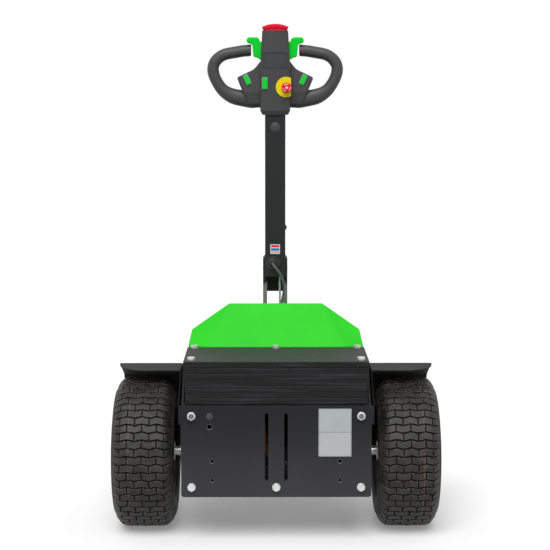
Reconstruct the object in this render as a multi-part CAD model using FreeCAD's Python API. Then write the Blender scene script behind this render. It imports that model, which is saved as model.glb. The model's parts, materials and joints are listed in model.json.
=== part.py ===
import FreeCAD, Part
import math
import os

os.makedirs("parts", exist_ok=True)
V = FreeCAD.Vector

# Walk-behind electric tow tractor, millimetres, +Z up, +Y towards the driver.
# All parts are modelled with Y = 0 at the drive axle and moved to the middle of the length on export.

# --- driving dimensions -------------------------------------------------------------------------
# drive wheels, 16 x 6.50-8 turf tyres
tyre_r = 200.0
tyre_w = 165.0
tread_w = 149.0
tyre_wall = 8.0
tyre_bead_out = 63.4
tyre_bead_in = 48.0
rim_seat_r = 101.6
rim_lip_r = 112.0
rim_t = 3.5
rim_disc_t = 5.0
rim_disc_in = 14.0
vent_ring_r = 73.0
vent_r = 8.0
stud_ring_r = 34.0
stud_r = 5.0
stud_af = 17.0
hub_flange_r = 60.0
hub_barrel_r = 21.0
shaft_r = 12.5
wheel_gap = 20.0
hub_in = 8.0

# coupling plate
plate_w = 492.0
plate_h = 240.0
plate_t = 8.0
plate_drop = 76.0
plate_setback = 10.0
plate_corner_r = 8.0
coupling_hole_r = 5.25
coupling_span_x = 330.0
coupling_span_z = 50.0
coupling_low = 43.5
slot_w = 9.0
slot_h = 177.5
slot_x = 25.0
slot_low = 42.5
bolt_inset = 27.0
bolt_low = 26.0
bolt_head_h = 7.5
bolt_r = 6.0
bolt_head_af = 18.0
bolt_play = 0.5
pin_hole_r = 7.0
pin_hole_x = 172.0
pin_hole_up = 184.0

# chassis
frame_t = 8.0
frame_inset = 7.5
frame_flange = 40.0
frame_low_gap = 11.0
frame_rear_y = 330.0
frame_tail_h = 110.0
crossbar_h = 34.0
crossbar_foot = 40.0
shelf_t = 8.0
seat_gap = 0.3

# ballast
ballast_count = 7
ballast_t = 15.6
ballast_step = 4.5
ballast_edge_r = 2.0
ballast_stagger = 1.2
cheek_t = 6.5
cheek_high = 90.0
cheek_low = 60.0
ballast_depth = 218.0
ballast_proud = 3.0

# hood
sheet_t = 2.5
hood_fold_r = 4.0
hood_ridge_h = 103.5
hood_shoulder_h = 38.0
hood_rear_h = 112.0
hood_corner_x = 50.0
hood_corner_y = 20.0
hood_ridge_x = 131.0
hood_shoulder_in = 8.0
hood_rear_side_h = 104.0
hood_front_run = 95.0
hood_ridge_run = 10.0

# fenders
fender_t = 3.0
fender_bend_r = 5.0
fender_clear = 30.0
fender_side_gap = 5.0
fender_front_y = -70.0
fender_back_y = 38.0
fender_fold_deg = 37.0
fender_skirt_deg = 55.0
fender_end_gap = 8.0
fender_square_w = 101.0
web_drop = 75.0
web_front_y = -107.0
web_back_y = -13.0
tab_w = 48.0
tab_h = 50.0
tab_bend_r = 8.0

# drive unit
gear_w = 125.0
gear_l = 115.0
gear_h = 126.0
gear_right = 15.0
gear_round = 16.0
gear_nose_r = 30.0
gear_nose_l = 14.0
motor_r = 55.0
motor_l = 125.0
brake_r = 43.0
brake_l = 42.0
bearing_r = 34.0
bearing_h = 24.0
bearing_foot_t = 11.0
bearing_ear_y = 49.5
bearing_ear_r = 13.0
motor_cable_r = 4.5

# battery
tray_t = 3.0
tray_gap = 5.0
tray_lip = 25.0
battery_w = 210.0
battery_d = 175.0
battery_h = 185.0
battery_gap = 10.0

# castor
castor_r = 100.0
castor_w = 50.0
castor_head_h = 40.0
castor_trail = 45.0
castor_y = 430.0
castor_plate_l = 135.0
castor_plate_w = 110.0
castor_plate_t = 8.0
castor_axle_r = 6.0
castor_race_r = 38.0
castor_leg_t = 5.0
castor_side_gap = 7.0
castor_tyre_t = 24.0
castor_rib_count = 8

# rear deck
deck_t = 8.0
deck_w = 220.0
deck_end_y = 600.0
deck_side_h = 34.0
deck_lap = 80.0
deck_neck_y = 420.0

# belly pan
pan_t = 3.0
pan_edge = 2.0
pan_opening_gap = 14.0
pan_drain_r = 6.0

# tiller
pivot_up = 52.0
pin_r = 10.0
fork_bar_t = 12.0
fork_bar_d = 35.0
fork_gap = 48.0
fork_len = 304.0
tube_w = 60.0
tube_d = 60.0
tube_t = 3.0
tube_len = 480.0
tube_up = 323.0
ear_t = 6.0
ear_low = 304.0
ear_high = 381.0
ear_chamfer = 5.0
web_low = 272.0
mount_ear_t = 8.0

# gas spring
spring_x = 14.0
spring_r = 7.5
spring_rod_r = 3.2
spring_body_l = 170.0
spring_dead_l = 50.0
spring_foot_y = 80.0
spring_foot_up = 32.0
spring_top_y = -13.0
spring_top_up = 345.0
eye_r = 8.0
eye_t = 8.0
eye_pin_r = 4.0

# control head and grips
head_h = 245.0
head_w_low = 87.5
head_w_top = 75.5
head_d = 76.0
head_round = 9.0
head_crown = 4.0
badge_w = 70.0
badge_h = 45.0
badge_up = 158.6
badge_deep = 1.0
grip_r = 17.2
grip_y = 5.0
grip_end_x = 70.5
wing_t = 40.0
estop_x = 31.5
estop_up = 81.0
gland_x = -7.0
gland_up = 40.5
cable_r = 3.5

# --- worked-out places --------------------------------------------------------------------------
axle_z = tyre_r
tyre_x = plate_w / 2 + wheel_gap + tyre_w / 2
plate_low = axle_z - plate_drop
plate_top = plate_low + plate_h
plate_front = plate_setback - tyre_r
plate_back = plate_front + plate_t
frame_out = plate_w / 2 - frame_inset
frame_in = frame_out - frame_t
frame_low = plate_low + frame_low_gap
shelf_low = plate_top - shelf_t + 2
frame_top = shelf_low
shelf_top = shelf_low + shelf_t
ballast_w = 2 * (frame_out + 1)
ballast_front = plate_back - ballast_proud
ballast_back = ballast_front + ballast_depth
ballast_pitch = ballast_t + seat_gap
ballast_low = shelf_top + seat_gap
ballast_top = ballast_low + ballast_count * ballast_pitch - seat_gap
hood_front = ballast_back + 2
hood_base = ballast_top + 1
hood_foot = frame_top
hood_out = frame_out
deck_low = 2 * castor_r + castor_head_h
deck_top = deck_low + deck_t
pivot_y = castor_y
pivot_z = deck_top + pivot_up
tube_low = pivot_z + tube_up
tube_top = tube_low + tube_len
tube_front = pivot_y - tube_d / 2
tube_back = pivot_y + tube_d / 2
head_low = tube_top - 3
head_top = head_low + head_h
length_mid = (deck_end_y - tyre_r) / 2
gear_left = gear_right - gear_w
gear_x = (gear_left + gear_right) / 2
battery_front = hood_front + sheet_t + 30
tray_low = max(axle_z + max(motor_r, gear_h / 2) + 12, deck_top + 2)
disc_x = tyre_x - rim_disc_in
castor_axle_y = castor_y + castor_trail
leg_in = castor_w / 2 + castor_side_gap
crown_low = castor_r * 2 + 6
fork_in = fork_gap / 2
fork_out = fork_in + fork_bar_t
mount_in = fork_out + 1
mount_out = mount_in + mount_ear_t
spring_foot = V(spring_x, pivot_y + spring_foot_y, deck_top + spring_foot_up)
spring_top = V(spring_x, pivot_y + spring_top_y, pivot_z + spring_top_up)
spring_way = (spring_top - spring_foot).normalize()


# --- helpers ------------------------------------------------------------------------------------
def block(x0, x1, y0, y1, z0, z1):
    return Part.makeBox(x1 - x0, y1 - y0, z1 - z0, V(x0, y0, z0))


def rod_x(r, x0, x1, y, z):
    return Part.makeCylinder(r, x1 - x0, V(x0, y, z), V(1, 0, 0))


def rod_y(r, y0, y1, x, z):
    return Part.makeCylinder(r, y1 - y0, V(x, y0, z), V(0, 1, 0))


def rod_z(r, z0, z1, x, y):
    return Part.makeCylinder(r, z1 - z0, V(x, y, z0), V(0, 0, 1))


def outline(points):
    return Part.Face(Part.makePolygon(points + [points[0]]))


def prism_x(points, x0, x1):
    """Side outline of (y, z) points, from x0 to x1."""
    return outline([V(x0, y, z) for y, z in points]).extrude(V(x1 - x0, 0, 0))


def prism_z(points, z0, z1):
    """Plan outline of (x, y) points, from z0 to z1."""
    return outline([V(x, y, z0) for x, y in points]).extrude(V(0, 0, z1 - z0))


def rounded(corners, place):
    """Face inside (a, b, radius) corners, each rounded by its radius; place turns (a, b) into a point."""
    count = len(corners)
    edges = []
    starts = []
    ends = []
    for i, (a, b, r) in enumerate(corners):
        here = V(a, b, 0)
        back = V(*corners[i - 1][:2], 0) - here
        ahead = V(*corners[(i + 1) % count][:2], 0) - here
        turn = math.pi - back.getAngle(ahead)
        back.normalize()
        ahead.normalize()
        cut = r * math.tan(turn / 2)
        starts.append(here + back * cut)
        ends.append(here + ahead * cut)
        if r:
            middle = (back + ahead).normalize()
            top = here + middle * (r / math.cos(turn / 2) - r)
            edges.append(Part.Arc(place(*starts[i][:2]), place(*top[:2]), place(*ends[i][:2])).toShape())
    for i in range(count):
        a = ends[i]
        b = starts[(i + 1) % count]
        if a.distanceToPoint(b) > 0.001:
            edges.append(Part.LineSegment(place(*a[:2]), place(*b[:2])).toShape())
    return Part.Face(Part.Wire(Part.__sortEdges__(edges)))


def rounded_x(corners, x0, x1):
    """Side outline of (y, z, radius) corners, from x0 to x1."""
    return rounded(corners, lambda y, z: V(x0, y, z)).extrude(V(x1 - x0, 0, 0))


def rounded_y(corners, y0, y1):
    """Front outline of (x, z, radius) corners, from y0 to y1."""
    return rounded(corners, lambda x, z: V(x, y0, z)).extrude(V(0, y1 - y0, 0))


def hexagon(af, axis_point, axis, height):
    """Hexagon prism, af across its flats, standing on axis_point."""
    r = af / math.sqrt(3)
    side = V(0, 0, 1) if abs(axis.z) < 0.5 else V(1, 0, 0)
    across = axis.cross(side)
    ring = []
    for i in range(6):
        a = math.radians(60 * i)
        ring.append(axis_point + side * (r * math.cos(a)) + across * (r * math.sin(a)))
    return outline(ring).extrude(axis * height)


def mirrored(shape):
    return shape.mirror(V(0, 0, 0), V(1, 0, 0))


def fillet_along(shape, radius, direction):
    """Round every straight edge that runs along the direction."""
    picked = []
    for e in shape.Edges:
        if isinstance(e.Curve, Part.Line) and abs(e.tangentAt(e.FirstParameter).dot(direction)) > 0.999:
            picked.append(e)
    return shape.makeFillet(radius, picked)


def revolve_about_x(edges, x, y, z):
    """Closed profile of edges drawn as (u along the axis, radius), turned about the axis."""
    face = Part.Face(Part.Wire(edges))
    turned = face.revolve(V(0, 0, 0), V(1, 0, 0), 360)
    turned.translate(V(x, y, z))
    return turned


def revolve_about_y(points, x, y, z):
    """Closed profile of (distance along the axis, radius) points, turned about the axis."""
    face = outline([V(r, along, 0) for along, r in points])
    turned = face.revolve(V(0, 0, 0), V(0, 1, 0), 360)
    turned.translate(V(x, y, z))
    return turned


def line(a, b):
    return Part.LineSegment(V(a[0], 0, a[1]), V(b[0], 0, b[1])).toShape()


def arc(a, m, b):
    return Part.Arc(V(a[0], 0, a[1]), V(m[0], 0, m[1]), V(b[0], 0, b[1])).toShape()


def closed_lines(points):
    return [line(points[i], points[(i + 1) % len(points)]) for i in range(len(points))]


def smooth_route(points, share=0.45):
    """Straight runs joined by tangent arcs, as large as the shorter run at each point allows."""
    pts = [V(*p) for p in points]
    edges = []
    start = pts[0]
    radii = []
    for i in range(1, len(pts) - 1):
        back = pts[i - 1] - pts[i]
        ahead = pts[i + 1] - pts[i]
        cut = share * min(back.Length, ahead.Length)
        back.normalize()
        ahead.normalize()
        turn = math.pi - back.getAngle(ahead)
        radius = cut / math.tan(turn / 2)
        radii.append(round(radius, 1))
        a = pts[i] + back * cut
        b = pts[i] + ahead * cut
        middle = back + ahead
        middle.normalize()
        centre = pts[i] + middle * (radius / math.cos(turn / 2))
        m = centre - middle * radius
        edges.append(Part.LineSegment(start, a).toShape())
        edges.append(Part.Arc(a, m, b).toShape())
        start = b
    edges.append(Part.LineSegment(start, pts[-1]).toShape())
    return Part.Wire(edges), radii


def pipe(points, r):
    path, radii = smooth_route(points)
    start = V(*points[0])
    way = V(*points[1]) - start
    ring = Part.Wire(Part.Circle(start, way, r).toShape())
    tube = path.makePipeShell([ring], True, False)
    want = math.pi * r * r * path.Length
    print("pipe radii", radii, "length", round(path.Length, 1), "volume ratio", round(tube.Volume / want, 4))
    return tube


def save(name, *solids):
    whole = Part.makeCompound([s.copy() for s in solids]) if len(solids) > 1 else solids[0].copy()
    whole.translate(V(0, -length_mid, 0))
    bad = [s for s in whole.Solids if not s.isValid()]
    if bad or len(whole.Solids) < len(solids):
        print("check", name, len(whole.Solids), "solids", len(bad), "bad")
    whole.exportStep("parts/" + name + ".step")


# --- coupling plate -----------------------------------------------------------------------------
def coupling_plate():
    half = plate_w / 2
    plate = block(-half, half, plate_front, plate_back, plate_low, plate_top)
    corners = [e for e in plate.Edges
               if abs(e.Length - plate_t) < 1e-6 and abs(e.CenterOfMass.z - plate_low) < 1e-6]
    plate = plate.makeFillet(plate_corner_r, corners)
    cuts = []
    for s in (-1, 1):
        z0 = plate_low + slot_low
        z1 = z0 + slot_h
        r = slot_w / 2
        cuts.append(block(s * slot_x - r, s * slot_x + r, plate_front - 1, plate_back + 1, z0 + r, z1 - r))
        cuts.append(rod_y(r, plate_front - 1, plate_back + 1, s * slot_x, z0 + r))
        cuts.append(rod_y(r, plate_front - 1, plate_back + 1, s * slot_x, z1 - r))
        for z in (plate_low + coupling_low, plate_low + coupling_low + coupling_span_z):
            cuts.append(rod_y(coupling_hole_r, plate_front - 1, plate_back + 1, s * coupling_span_x / 2, z))
        x0, x1 = sorted((s * (half + 1), s * (half - tab_w)))
        recess = plate_front + fender_t + 0.1
        cuts.append(block(x0, x1, plate_front - 1, recess, plate_top - tab_h, plate_top + 1))
    for x, z in plate_bolt_places():
        cuts.append(rod_y(bolt_r + bolt_play, plate_front - 1, plate_back + 1, x, z))
    cuts.append(rod_y(pin_hole_r, plate_front - 1, plate_back + 1, -pin_hole_x, plate_low + pin_hole_up))
    return plate.cut(Part.makeCompound(cuts))


def plate_bolt_places():
    edge = plate_w / 2 - bolt_inset
    low = plate_low + bolt_low
    high = plate_top - bolt_inset
    return [(-edge, high), (edge, high), (-edge, low), (edge, low), (0, low)]


def plate_bolts():
    solids = []
    for x, z in plate_bolt_places():
        head = hexagon(bolt_head_af, V(x, plate_front, z), V(0, -1, 0), bolt_head_h)
        shank = rod_y(bolt_r, plate_front - 1, plate_back + frame_t + 10, x, z)
        solids.append(head.fuse(shank).removeSplitter())
    return solids


# --- chassis ------------------------------------------------------------------------------------
def side_frame():
    profile = [
        (plate_back, frame_low),
        (plate_back, frame_top),
        (frame_rear_y, frame_top),
        (frame_rear_y, frame_top - frame_tail_h),
        (tyre_r * 0.55, frame_low),
    ]
    side = prism_x(profile, frame_in, frame_out)
    flange = block(frame_out - frame_flange, frame_in, plate_back, plate_back + frame_t, frame_low, frame_top)
    frame = side.multiFuse([flange, ballast_cheek()]).removeSplitter()
    holes = [rod_x(shaft_r + 3, frame_in - 1, frame_out + 1, 0, axle_z)]
    for x, z in plate_bolt_places():
        if x > 0:
            holes.append(rod_y(bolt_r + bolt_play, plate_back - 1, plate_back + frame_t + 1, x, z))
    return frame.cut(Part.makeCompound(holes))


def ballast_cheek():
    """Ear on the outside of a side frame that rises beside the ballast and falls away forwards."""
    front = plate_back + frame_t
    back = ballast_back - 4
    low = frame_top - cheek_low
    foot = block(frame_out, frame_out + cheek_t, front, back, low, frame_top)
    profile = [
        (front, low),
        (back, low),
        (back, frame_top + cheek_high),
        (fender_front_y, frame_top + cheek_high),
        (front, frame_top + 4),
    ]
    return foot.fuse(prism_x(profile, frame_out + 1, frame_out + cheek_t)).removeSplitter()


def front_crossbar():
    inner = frame_out - frame_flange
    bar = block(-inner, inner, plate_back, plate_back + frame_t, frame_low, frame_low + crossbar_h)
    foot_back = plate_back + frame_t + crossbar_foot
    foot = block(-inner, inner, plate_back + frame_t, foot_back, frame_low, frame_low + frame_t)
    hole = rod_y(bolt_r + bolt_play, plate_back - 1, plate_back + frame_t + 1, 0, plate_low + bolt_low)
    return bar.fuse(foot).removeSplitter().cut(hole)


def rear_crossplate():
    return block(-frame_in, frame_in, frame_rear_y - frame_t, frame_rear_y, deck_top, frame_top)


def belly_pan():
    """Sheet under the frame that follows its tail upwards, open round the gear case and the motor."""
    bend_y = tyre_r * 0.55
    slope = (frame_top - frame_tail_h - frame_low) / (frame_rear_y - bend_y)
    tail = deck_low - 1
    top = [(plate_back + 1, frame_low), (bend_y, frame_low), (bend_y + (tail - frame_low) / slope, tail)]
    low = [(y, z - pan_t) for y, z in reversed(top)]
    half = frame_out - pan_edge
    sheet = prism_x(top + low, -half, half)
    gap = pan_opening_gap
    under = frame_low - pan_t - 1
    motor_end = gear_l / 2 + motor_l + brake_l
    opening = block(gear_left - gap, gear_right + gap, -gear_l / 2 - gap, motor_end + gap, under, tail + 1)
    opening = fillet_along(opening, gap, V(0, 0, 1))
    drains = [rod_z(pan_drain_r, under, frame_low + 1, s * (half - 60), bend_y - 40) for s in (-1, 1)]
    return sheet.cut(Part.makeCompound([opening] + drains))


def rear_deck():
    """Plate that tapers from the side frames to the castor, with a stiffening flange on each side."""
    half = deck_w / 2
    front = frame_rear_y - deck_lap
    plan = [
        (-frame_in, front), (frame_in, front), (frame_in, frame_rear_y), (half, deck_neck_y),
        (half, deck_end_y), (-half, deck_end_y), (-half, deck_neck_y), (-frame_in, frame_rear_y),
    ]
    floor = prism_z(plan, deck_low, deck_top)
    floor = floor.makeFillet(30, [e for e in floor.Edges
                                  if abs(e.Length - deck_t) < 1e-6 and e.CenterOfMass.y > deck_end_y - 1])
    sides = []
    for s in (-1, 1):
        x0, x1 = sorted((s * half, s * (half - deck_t)))
        profile = [
            (deck_neck_y, deck_top),
            (deck_end_y - 60, deck_top),
            (deck_end_y - 110, deck_top + deck_side_h),
            (deck_neck_y, deck_top + deck_side_h),
        ]
        sides.append(prism_x(profile, x0, x1))
        plan = [(s * frame_in, frame_rear_y), (s * half, deck_neck_y),
                (s * (half - deck_t), deck_neck_y), (s * (frame_in - deck_t), frame_rear_y)]
        sides.append(prism_z(plan, deck_top, deck_top + deck_side_h))
    return floor.multiFuse(sides).removeSplitter()


# --- ballast ------------------------------------------------------------------------------------
def ballast_bolt_places():
    edge = ballast_w / 2 - 20
    front = ballast_front + 27
    back = ballast_back - 13
    return [(-edge, front), (edge, front), (-edge, back), (edge, back), (0, back)]


def ballast_shelf():
    shelf = block(-frame_out, frame_out, plate_back, ballast_back, shelf_low, shelf_top)
    return shelf.cut(Part.makeCompound([rod_z(bolt_r + bolt_play, shelf_low - 1, shelf_top + 1, x, y)
                                        for x, y in ballast_bolt_places()]))


def ballast_plates():
    half = ballast_w / 2
    holes = Part.makeCompound([rod_z(bolt_r + bolt_play, ballast_low - 1, ballast_top + 1, x, y)
                               for x, y in ballast_bolt_places()])
    solids = []
    for i in range(ballast_count):
        z = ballast_low + i * ballast_pitch
        y = ballast_front + ballast_stagger * (i % 2)
        x = half if i == ballast_count - 1 else half - ballast_step
        plate = block(-x, x, y, ballast_back, z, z + ballast_t)
        solids.append(fillet_along(plate, ballast_edge_r, V(1, 0, 0)).cut(holes))
    return solids


def ballast_bolts():
    solids = []
    for x, y in ballast_bolt_places():
        head = hexagon(bolt_head_af, V(x, y, ballast_top), V(0, 0, 1), bolt_head_h)
        shank = rod_z(bolt_r, shelf_low - 12, ballast_top + 1, x, y)
        solids.append(head.fuse(shank).removeSplitter())
    return solids


# --- hood ---------------------------------------------------------------------------------------
def hood_form(inset):
    """The faceted form, with every face moved in by inset; the foot stays open."""
    side_x = hood_out - hood_shoulder_in
    side_top = hood_base + hood_shoulder_h
    ridge_z = hood_base + hood_ridge_h
    ridge_front = hood_front + hood_front_run
    ridge_back = ridge_front + hood_ridge_run
    form = block(-hood_out + inset, hood_out - inset, hood_front + inset, frame_rear_y - inset,
                 hood_foot, ridge_z - inset)
    faces = [
        (V(0, hood_front, hood_base), V(1, hood_front, hood_base), V(0, ridge_front, ridge_z)),
        (V(0, ridge_back, ridge_z), V(1, ridge_back, ridge_z), V(0, frame_rear_y, hood_foot + hood_rear_h)),
    ]
    for s in (-1, 1):
        a = V(s * (hood_out - hood_corner_x), hood_front, hood_base)
        b = V(s * hood_out, hood_front + hood_corner_y, hood_base)
        ridge = V(s * hood_ridge_x, ridge_front, ridge_z)
        facet = (b - a).cross(ridge - a)
        shoulder_y = hood_front - (facet.x * (s * side_x - a.x) + facet.z * (side_top - a.z)) / facet.y
        shoulder = V(s * side_x, shoulder_y, side_top)
        rear = V(s * side_x, frame_rear_y, hood_foot + hood_rear_side_h)
        wall = V(s * hood_out, 0, hood_base)
        faces.append((wall, wall + V(0, 1, 0), V(s * side_x, 0, side_top)))
        faces.append((ridge, shoulder, rear))
        faces.append((a, b, ridge))
        faces.append((a, b, a - V(0, 0, 100)))
    for a, b, c in faces:
        form = form.cut(beyond(a, b, c, V(0, ridge_back, hood_base), inset))
    return form


def beyond(a, b, c, inside, inset):
    """A large block on the far side of the plane through three points, seen from inside."""
    normal = (b - a).cross(c - a)
    normal.normalize()
    if normal.dot(inside - a) > 0:
        normal = normal * -1
    size = 600
    slab = Part.makeBox(size * 2, size * 2, size, V(-size, -size, 0))
    slab.Placement = FreeCAD.Placement(a - normal * inset, FreeCAD.Rotation(V(0, 0, 1), normal))
    return slab


def folded(form, radius):
    """Rounds every fold of the sheet, down to its open foot."""
    return form.makeFillet(radius, [e for e in form.Edges if max(v.Z for v in e.Vertexes) > hood_foot + 1])


def hood():
    outer = folded(hood_form(0), hood_fold_r)
    inner = hood_form(sheet_t)
    drop = inner.copy()
    drop.translate(V(0, 0, -2 * sheet_t))
    return outer.cut(inner.fuse(drop))


# --- fenders ------------------------------------------------------------------------------------
def fender():
    x0 = plate_w / 2 + fender_side_gap
    x1 = tyre_x + tyre_w / 2 - fender_end_gap
    top = axle_z + tyre_r + fender_clear + fender_t
    under = top - fender_t

    def around(degrees, radius):
        turn = math.radians(degrees)
        return radius * math.sin(turn), axle_z + radius * math.cos(turn)

    outer_r = top - axle_z
    inner_r = under - axle_z
    tail_y, tail_z = around(fender_fold_deg, outer_r)
    sheet = [
        (fender_front_y, top),
        (fender_back_y, top),
        (tail_y, tail_z),
        around(fender_skirt_deg, outer_r),
        around(fender_skirt_deg, inner_r),
        around(fender_fold_deg, inner_r),
        (fender_back_y - 1, under),
        (fender_front_y, under),
    ]
    roof = prism_x(sheet, x0, x1)
    # the outer front corner is swept away in a quarter ellipse
    reach_x = x1 - x0 - fender_square_w
    reach_y = fender_back_y - fender_front_y
    centre_x = x1 - reach_x
    curve = Part.makeCylinder(reach_y, top - under + 2, V(0, 0, under - 1))
    squash = FreeCAD.Matrix()
    squash.A11 = reach_x / reach_y
    curve = curve.transformGeometry(squash)
    curve.translate(V(centre_x, fender_back_y, 0))
    corner = block(centre_x, x1 + 1, fender_front_y - 1, fender_back_y, under - 1, top + 1)
    roof = roof.cut(corner.cut(curve))
    web_z = under - axle_z - web_drop - fender_clear
    web = [
        (fender_front_y, top),
        (fender_back_y, top),
        (tail_y, tail_z),
        (web_back_y, axle_z + web_z + 3),
        (web_front_y, axle_z + web_z - 3),
        (plate_front + 22, plate_top - tab_h),
        (plate_front, plate_top - tab_h),
        (plate_front, plate_top),
        (plate_front + 26, plate_top),
    ]
    side = prism_x(web, x0, x0 + fender_t)
    tab = block(plate_w / 2 - tab_w + 0.2, x0 + fender_t, plate_front, plate_front + fender_t,
                plate_top - tab_h + 0.2, plate_top)
    whole = roof.multiFuse([side, tab]).removeSplitter()
    bends = [
        (x0 + fender_t, plate_front, tab_bend_r),
        (x0, plate_front + fender_t, tab_bend_r - fender_t),
    ]
    for x, y, r in bends:
        bend = [e for e in whole.Edges if abs(e.CenterOfMass.x - x) < 0.01
                and abs(e.CenterOfMass.y - y) < 0.01 and e.BoundBox.ZLength > tab_h - 1]
        whole = whole.makeFillet(r, bend)
    # a solid under the same roof line, with its inner long edge rounded, trims the bend from roof to web
    skirt = around(fender_skirt_deg, outer_r)
    under_roof = [(plate_front - 1, axle_z), (plate_front - 1, top), (fender_back_y, top), (tail_y, tail_z),
                  skirt, (skirt[0], axle_z)]
    trim = prism_x(under_roof, x0, x1)
    trim = trim.makeFillet(fender_bend_r, [e for e in trim.Edges if e.BoundBox.XLength < 0.01
                                           and e.CenterOfMass.x < x0 + 0.01 and e.CenterOfMass.z > skirt[1]])
    spare = block(x0 - tab_w - 20, x0, plate_front - 1, plate_front + 20, axle_z, top)
    whole = whole.common(trim.fuse(spare))
    x = plate_w / 2 - bolt_inset
    return whole.cut(rod_y(bolt_r + bolt_play, plate_front - 1, plate_back, x, plate_top - bolt_inset))


# --- drive unit ---------------------------------------------------------------------------------
def transaxle():
    """Two-part gear case left of the middle, with a parting flange, ribs and a nose on each side."""
    y = gear_l / 2
    low = axle_z - gear_h / 2
    high = axle_z + gear_h / 2
    case = block(gear_left, gear_right, -y, y, low, high)
    solids = []
    case = case.makeFillet(gear_round, case.Edges)
    rim = gear_round / 2
    corners = [(-y - rim, low - rim, gear_round), (y, low - rim, gear_round),
               (y, high + rim, gear_round), (-y - rim, high + rim, gear_round)]
    solids.append(rounded_x(corners, gear_x - 5, gear_x + 5))
    for side, face in ((-1, gear_left), (1, gear_right)):
        end = face + side * gear_nose_l
        nose = Part.makeCone(gear_nose_r + 6, gear_nose_r, gear_nose_l, V(face, 0, axle_z), V(side, 0, 0))
        solids.append(nose)
        for turn in range(0, 360, 60):
            rib = block(-3, 3, gear_nose_r, gear_h / 2 - gear_round, 0, gear_nose_l * 0.7)
            rib.rotate(V(0, 0, 0), V(0, 0, 1), turn)
            rib.rotate(V(0, 0, 0), V(0, 1, 0), side * 90)
            rib.translate(V(face, 0, axle_z))
            solids.append(rib)
        solids.append(rod_x(shaft_r + 8, *sorted((end - side, end + side * 3)), 0, axle_z))
    motor_pad = rod_y(motor_r + 5, y - gear_round - 2, y, gear_x, axle_z)
    whole = case.multiFuse(solids + [motor_pad]).removeSplitter()
    bores = []
    for side, face in ((-1, gear_left), (1, gear_right)):
        x0, x1 = sorted((face + side * (gear_nose_l - 6.3), face + side * 30))
        bores.append(rod_x(shaft_r + 0.05, x0, x1, 0, axle_z))
    return whole.cut(Part.makeCompound(bores))


def drive_motor():
    """Finned motor can with an end bell, the magnetic brake behind it and a terminal box."""
    y0 = gear_l / 2
    y1 = y0 + motor_l
    r = motor_r
    profile = [(y0, 0), (y0, r + 5), (y0 + 8, r + 5), (y0 + 8, r)]
    fins = 6
    pitch = (motor_l - 40) / fins
    for i in range(fins):
        start = y0 + 12 + i * pitch
        profile += [(start, r), (start, r - 2.5), (start + pitch / 2, r - 2.5), (start + pitch / 2, r)]
    profile += [(y1 - 18, r), (y1 - 18, r + 3), (y1 - 6, r + 3), (y1, brake_r + 3), (y1, brake_r),
                (y1 + brake_l - 6, brake_r), (y1 + brake_l, brake_r - 6), (y1 + brake_l, 0)]
    can = revolve_about_y(profile, gear_x, 0, axle_z)
    box_x = gear_x + r - 8
    box = block(box_x, box_x + 22, y0 + 30, y0 + 66, axle_z - 22, axle_z + 18)
    return can.fuse(fillet_along(box, 4, V(1, 0, 0))).removeSplitter()


def motor_cable_end():
    """A place just off the outer face of the motor's terminal box."""
    return V(gear_x + motor_r + 14.3, gear_l / 2 + 48, axle_z - 2)


def motor_cable():
    """From the battery's front terminal over the gear case, behind the slots and under the axle."""
    x = -slot_x - 6
    front = plate_back + 55
    over = axle_z + gear_h / 2 + gear_round / 2 + 46
    end = motor_cable_end()
    low = axle_z - 36
    route = [
        (x, battery_front - 0.3, tray_low + 113),
        (x, battery_front - 18, tray_low + 113),
        (x, battery_front - 22, tray_low + 80),
        (x, battery_front - 24, tray_low + 47),
        (x, battery_front - 50, over + 2),
        (x, battery_front - 95, over + 4),
        (x, -75, over + 4),
        (x, front - 12, over - 8),
        (x, front - 22, over - 42),
        (x + 2, front - 25, over - 80),
        (x + 18, front - 24, axle_z + 14),
        (slot_x - 8, front - 22, axle_z + 2),
        (slot_x + 20, front - 10, axle_z - 6),
        (slot_x + 42, front + 24, axle_z - 18),
        (slot_x + 48, front + 66, low),
        (slot_x + 46, front + 112, low - 4),
        (slot_x + 40, front + 158, low + 2),
        (slot_x + 32, end.y - 30, low + 16),
        (slot_x + 18, end.y, end.z),
        (end.x, end.y, end.z),
    ]
    return pipe(route, motor_cable_r)


def axle_bearing(side):
    """Two-bolt flange bearing on the inner face of a side frame."""
    face = side * frame_in
    turn = math.acos((bearing_r - bearing_ear_r) / bearing_ear_y)
    edges = []
    for s in (-1, 1):
        ear = V(0, s * bearing_ear_y, 0)
        up = V(0, s * math.cos(turn), math.sin(turn))
        down = V(0, s * math.cos(turn), -math.sin(turn))
        edges.append(Part.Arc(ear + up * bearing_ear_r, ear + V(0, s * bearing_ear_r, 0),
                              ear + down * bearing_ear_r).toShape())
        edges.append(Part.LineSegment(ear + up * bearing_ear_r, up * bearing_r).toShape())
        edges.append(Part.LineSegment(ear + down * bearing_ear_r, down * bearing_r).toShape())
    for s in (-1, 1):
        up = V(0, math.cos(turn), s * math.sin(turn))
        other = V(0, -math.cos(turn), s * math.sin(turn))
        edges.append(Part.Arc(up * bearing_r, V(0, 0, s * bearing_r), other * bearing_r).toShape())
    foot = Part.Face(Part.Wire(Part.__sortEdges__(edges))).extrude(V(-side * bearing_foot_t, 0, 0))
    barrel = Part.makeCone(bearing_r - 4, bearing_r - 9, bearing_h, V(0, 0, 0), V(-side, 0, 0))
    whole = foot.fuse(barrel).removeSplitter()
    whole.translate(V(face, 0, axle_z))
    x0, x1 = sorted((face + side, face - side * (bearing_h + 1)))
    return whole.cut(rod_x(shaft_r + 0.05, x0, x1, 0, axle_z))


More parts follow.
